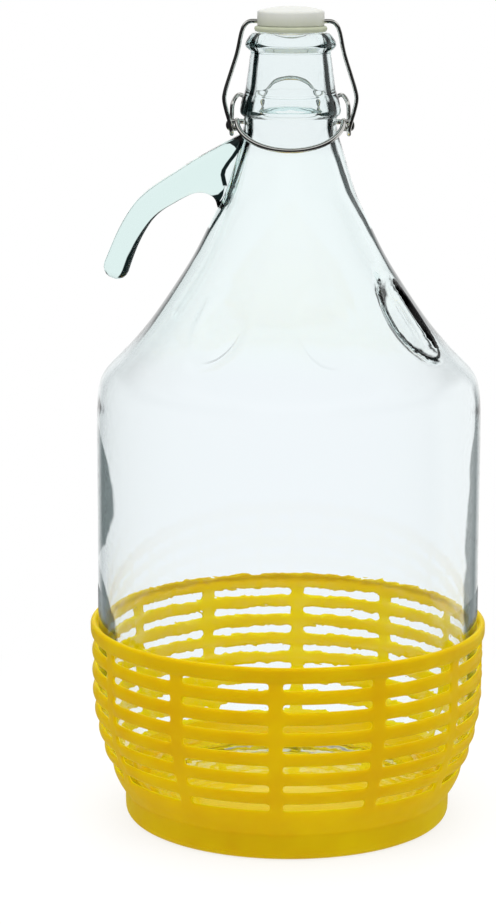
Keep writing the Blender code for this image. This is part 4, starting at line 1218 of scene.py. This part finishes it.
# Shares of a quarter turn behind the neck, of the hoop's radius and of the arch's height
HOOP_SHAPE = ((0.161, 1.01, 0.2), (0.267, 0.975, 0.5), (0.4, 0.97, 0.4), (0.54, 0.99, 0.0), (0.6, 1.0, 0.25),
              (0.66, 1.0, 0.56), (0.75, 1.0, 0.82), (0.87, 1.0, 0.96), (1.0, 1.0, 1.0))

bail_half = [(16.2, 0, CROSS), (17.3, 0, CROSS - 0.1)]
bail_half += [(19.2 + 9.2 * out, -HOOK_R * ahead, CRANK + (CROSS - CRANK) * high) for out, ahead, high in ARM]
for angle in np.linspace(180, 295, 7):
    turn = math.radians(angle)
    bail_half.append((HOOK_X, HOOK_R * math.cos(turn), CRANK + HOOK_R * math.sin(turn)))
bail_half += [(HOOK_X, TAIL * out, CRANK + TAIL * high) for out, high in TAIL_SHAPE]
for quarter, reach, high in HOOP_SHAPE:
    turn = math.pi / 2 * quarter
    bail_half.append((HOOP * reach * math.cos(turn), HOOP * reach * math.sin(turn), DIP + (ARCH - DIP) * high))
bail = add_piece("bail_wire", tube(mirrored(bail_half, BAIL_END), 0.95), wire, "bail_body", "wire_steel",
                 "stopper_bail")
print("bail faces:", len(bail.data.polygons))

# %% [markdown]
# ## The floor's finish
# The photograph's ground is nearly white and fades into a white background. A plain floor would end in a grey edge. So
# its material turns from a pale matt surface, which takes the soft shadow, into plain white light away from the
# object. In reflections on glass and metal that white is dim, so that they keep their dark lines.

# %% Floor finish
FADE_FROM, FADE_TO, WHITE_LEAST = 0.1, 0.3, 0.75
MIRRORED_LESS = -0.85
floor_material, tree, shader = new_material("floor_pale", Base_Color=(0.96, 0.96, 0.96), Roughness=0.9,
                                            Specular_IOR_Level=0.1)
length = add_node(tree, "ShaderNodeVectorMath", operation="LENGTH")
feed(length.inputs[0], add_node(tree, "ShaderNodeTexCoord").outputs["Object"])
fade = add_node(tree, "ShaderNodeMapRange", interpolation_type="SMOOTHSTEP", Value=length.outputs["Value"],
                From_Min=FADE_FROM, From_Max=FADE_TO, To_Min=WHITE_LEAST)
rays = add_node(tree, "ShaderNodeLightPath")
in_mirror = product(rays.outputs["Is Glossy Ray"], calculate("SUBTRACT", 1.0, rays.outputs["Is Transmission Ray"]))
white = add_node(tree, "ShaderNodeEmission", Strength=calculate("MULTIPLY_ADD", in_mirror, MIRRORED_LESS, 1.0))
floor_blend = add_node(tree, "ShaderNodeMixShader", Fac=fade.outputs["Result"])
feed(floor_blend.inputs[1], shader.outputs["BSDF"])
feed(floor_blend.inputs[2], white.outputs["Emission"])
feed(tree.nodes["Material Output"].inputs["Surface"], floor_blend.outputs["Shader"])
print("the floor is plain white from", FADE_TO, "metres out")

# %% [markdown]
# ## The floor
# A flat disc is enough, since its edge is plain white light. It belongs to the stage, not to the object.

# %% Floor
FLOOR_RADIUS = 0.45
floor_bm = bmesh.new()
bmesh.ops.create_circle(floor_bm, cap_ends=True, segments=96, radius=FLOOR_RADIUS)
floor = part_of("floor", floor_bm)
floor.data.materials.append(floor_material)
print("floor radius:", FLOOR_RADIUS)

# %% [markdown]
# ## The room that shines in reflections
# Wires and glass look the way they do because of the room they mirror: dark below, bright high up, with a bright wall
# to the right and one behind. Photographed rooms can light a scene, but this one is drawn with ramps over the
# direction, so that it needs no image. Of three such ramps, the lightest counts.

# %% Room in reflections
studio = bpy.data.worlds.new("studio")
scene.world = studio
studio.use_nodes = True
tree = studio.node_tree
direction = add_node(tree, "ShaderNodeSeparateXYZ", Vector=add_node(tree, "ShaderNodeTexCoord").outputs["Generated"])
height = add_node(tree, "ShaderNodeMapRange", Value=direction.outputs["Z"], From_Min=-1).outputs["Result"]
above = ramp(height, [(0.0, 0.015), (0.5, 0.02), (0.70, 0.05), (0.80, 1.0), (0.88, 1.0), (0.94, 0.15)])
to_right = calculate("MULTIPLY_ADD", direction.outputs["X"], 0.83, product(direction.outputs["Y"], 0.55))
aside = ramp(to_right, [(0.0, 0), (0.84, 0), (0.94, 1.0), (1.0, 1.0)])
behind = ramp(direction.outputs["Y"], [(0.0, 0), (0.86, 0), (0.95, 1.1), (1.0, 1.1)])
mirror_room = above
for wall in (aside, behind):
    lighter = add_node(tree, "ShaderNodeMix", data_type="RGBA", blend_type="LIGHTEN", Factor=1)
    feed(lighter.inputs[MIX_COLORS[0]], mirror_room)
    feed(lighter.inputs[MIX_COLORS[1]], wall)
    mirror_room = lighter.outputs[MIX_COLORS[2]]
print("world:", studio.name)

# %% [markdown]
# ## The room for the other rays
# The camera sees plain white. What shows through the glass is white as well, but for a dark band high up, left and
# right, which edges the punt and the lip. Matt surfaces are lit by a soft sky that is brighter above. One world can do
# all of this, because Light Path tells which kind of ray asks.

# %% Room by kind of ray
SIDES_FROM, SIDES_TO = 0.3, 0.5
dark_above = ramp(height, [(0.0, 1), (0.62, 1), (0.72, 0.1), (0.86, 0.1), (0.92, 1), (1.0, 1)])
at_sides = share_between(calculate("ABSOLUTE", direction.outputs["X"]), SIDES_FROM, SIDES_TO)
through_glass = blend_colors(at_sides, CLEAR, dark_above)
soft_sky = ramp(height, [(0.0, 0.5), (0.5, 0.5), (0.75, 0.9), (1.0, 1.25)])
rays = add_node(tree, "ShaderNodeLightPath")
room_color = mirror_room
for ray, shade in (("Is Transmission Ray", through_glass), ("Is Diffuse Ray", soft_sky), ("Is Camera Ray", CLEAR)):
    room_color = blend_colors(rays.outputs[ray], room_color, shade)
feed(tree.nodes["Background"].inputs["Color"], room_color)
print("world nodes:", len(tree.nodes))

# %% [markdown]
# ## Lamps
# Four large soft lamps light the object, from the left, the right, the front and behind. Small lamps would draw hard
# shadows and bright dots in the glass. These are hidden from the camera and from reflections, so only their soft light
# shows.

# %% Lamps
LAMP_SIZE, AIM = 1.2, Vector((0, 0, 0.15))
LAMPS = (("lamp_left", (-1.0, -0.9, 1.4), 5), ("lamp_right", (1.2, -0.7, 1.2), 3),
         ("lamp_front", (0.1, -1.0, 1.7), 7), ("lamp_back", (0.1, 1.3, 1.1), 6))      # name, place, watts
for name, spot, watts in LAMPS:
    lamp_data = bpy.data.lights.new(name, "AREA")
    lamp_data.size = LAMP_SIZE
    lamp_data.energy = watts
    lamp = bpy.data.objects.new(name, lamp_data)
    lamp.location = spot
    lamp.rotation_euler = (AIM - Vector(spot)).to_track_quat("-Z", "Y").to_euler()
    lamp.visible_camera = lamp.visible_glossy = lamp.visible_transmission = False
    scene.collection.objects.link(lamp)

# %% [markdown]
# ## Light settings
# The Standard view shows colours as they are written. Light crosses many skins of glass on its way, so the number of
# bounces is raised. With too few, thick parts of the glass turn black.

# %% Light settings
GLASS_BOUNCES, MIRROR_BOUNCES = 24, 8
scene.view_settings.view_transform = "Standard"
scene.cycles.max_bounces = scene.cycles.transmission_bounces = GLASS_BOUNCES
scene.cycles.glossy_bounces = MIRROR_BOUNCES
print("bounces:", GLASS_BOUNCES, "in glass,", MIRROR_BOUNCES, "in reflections")
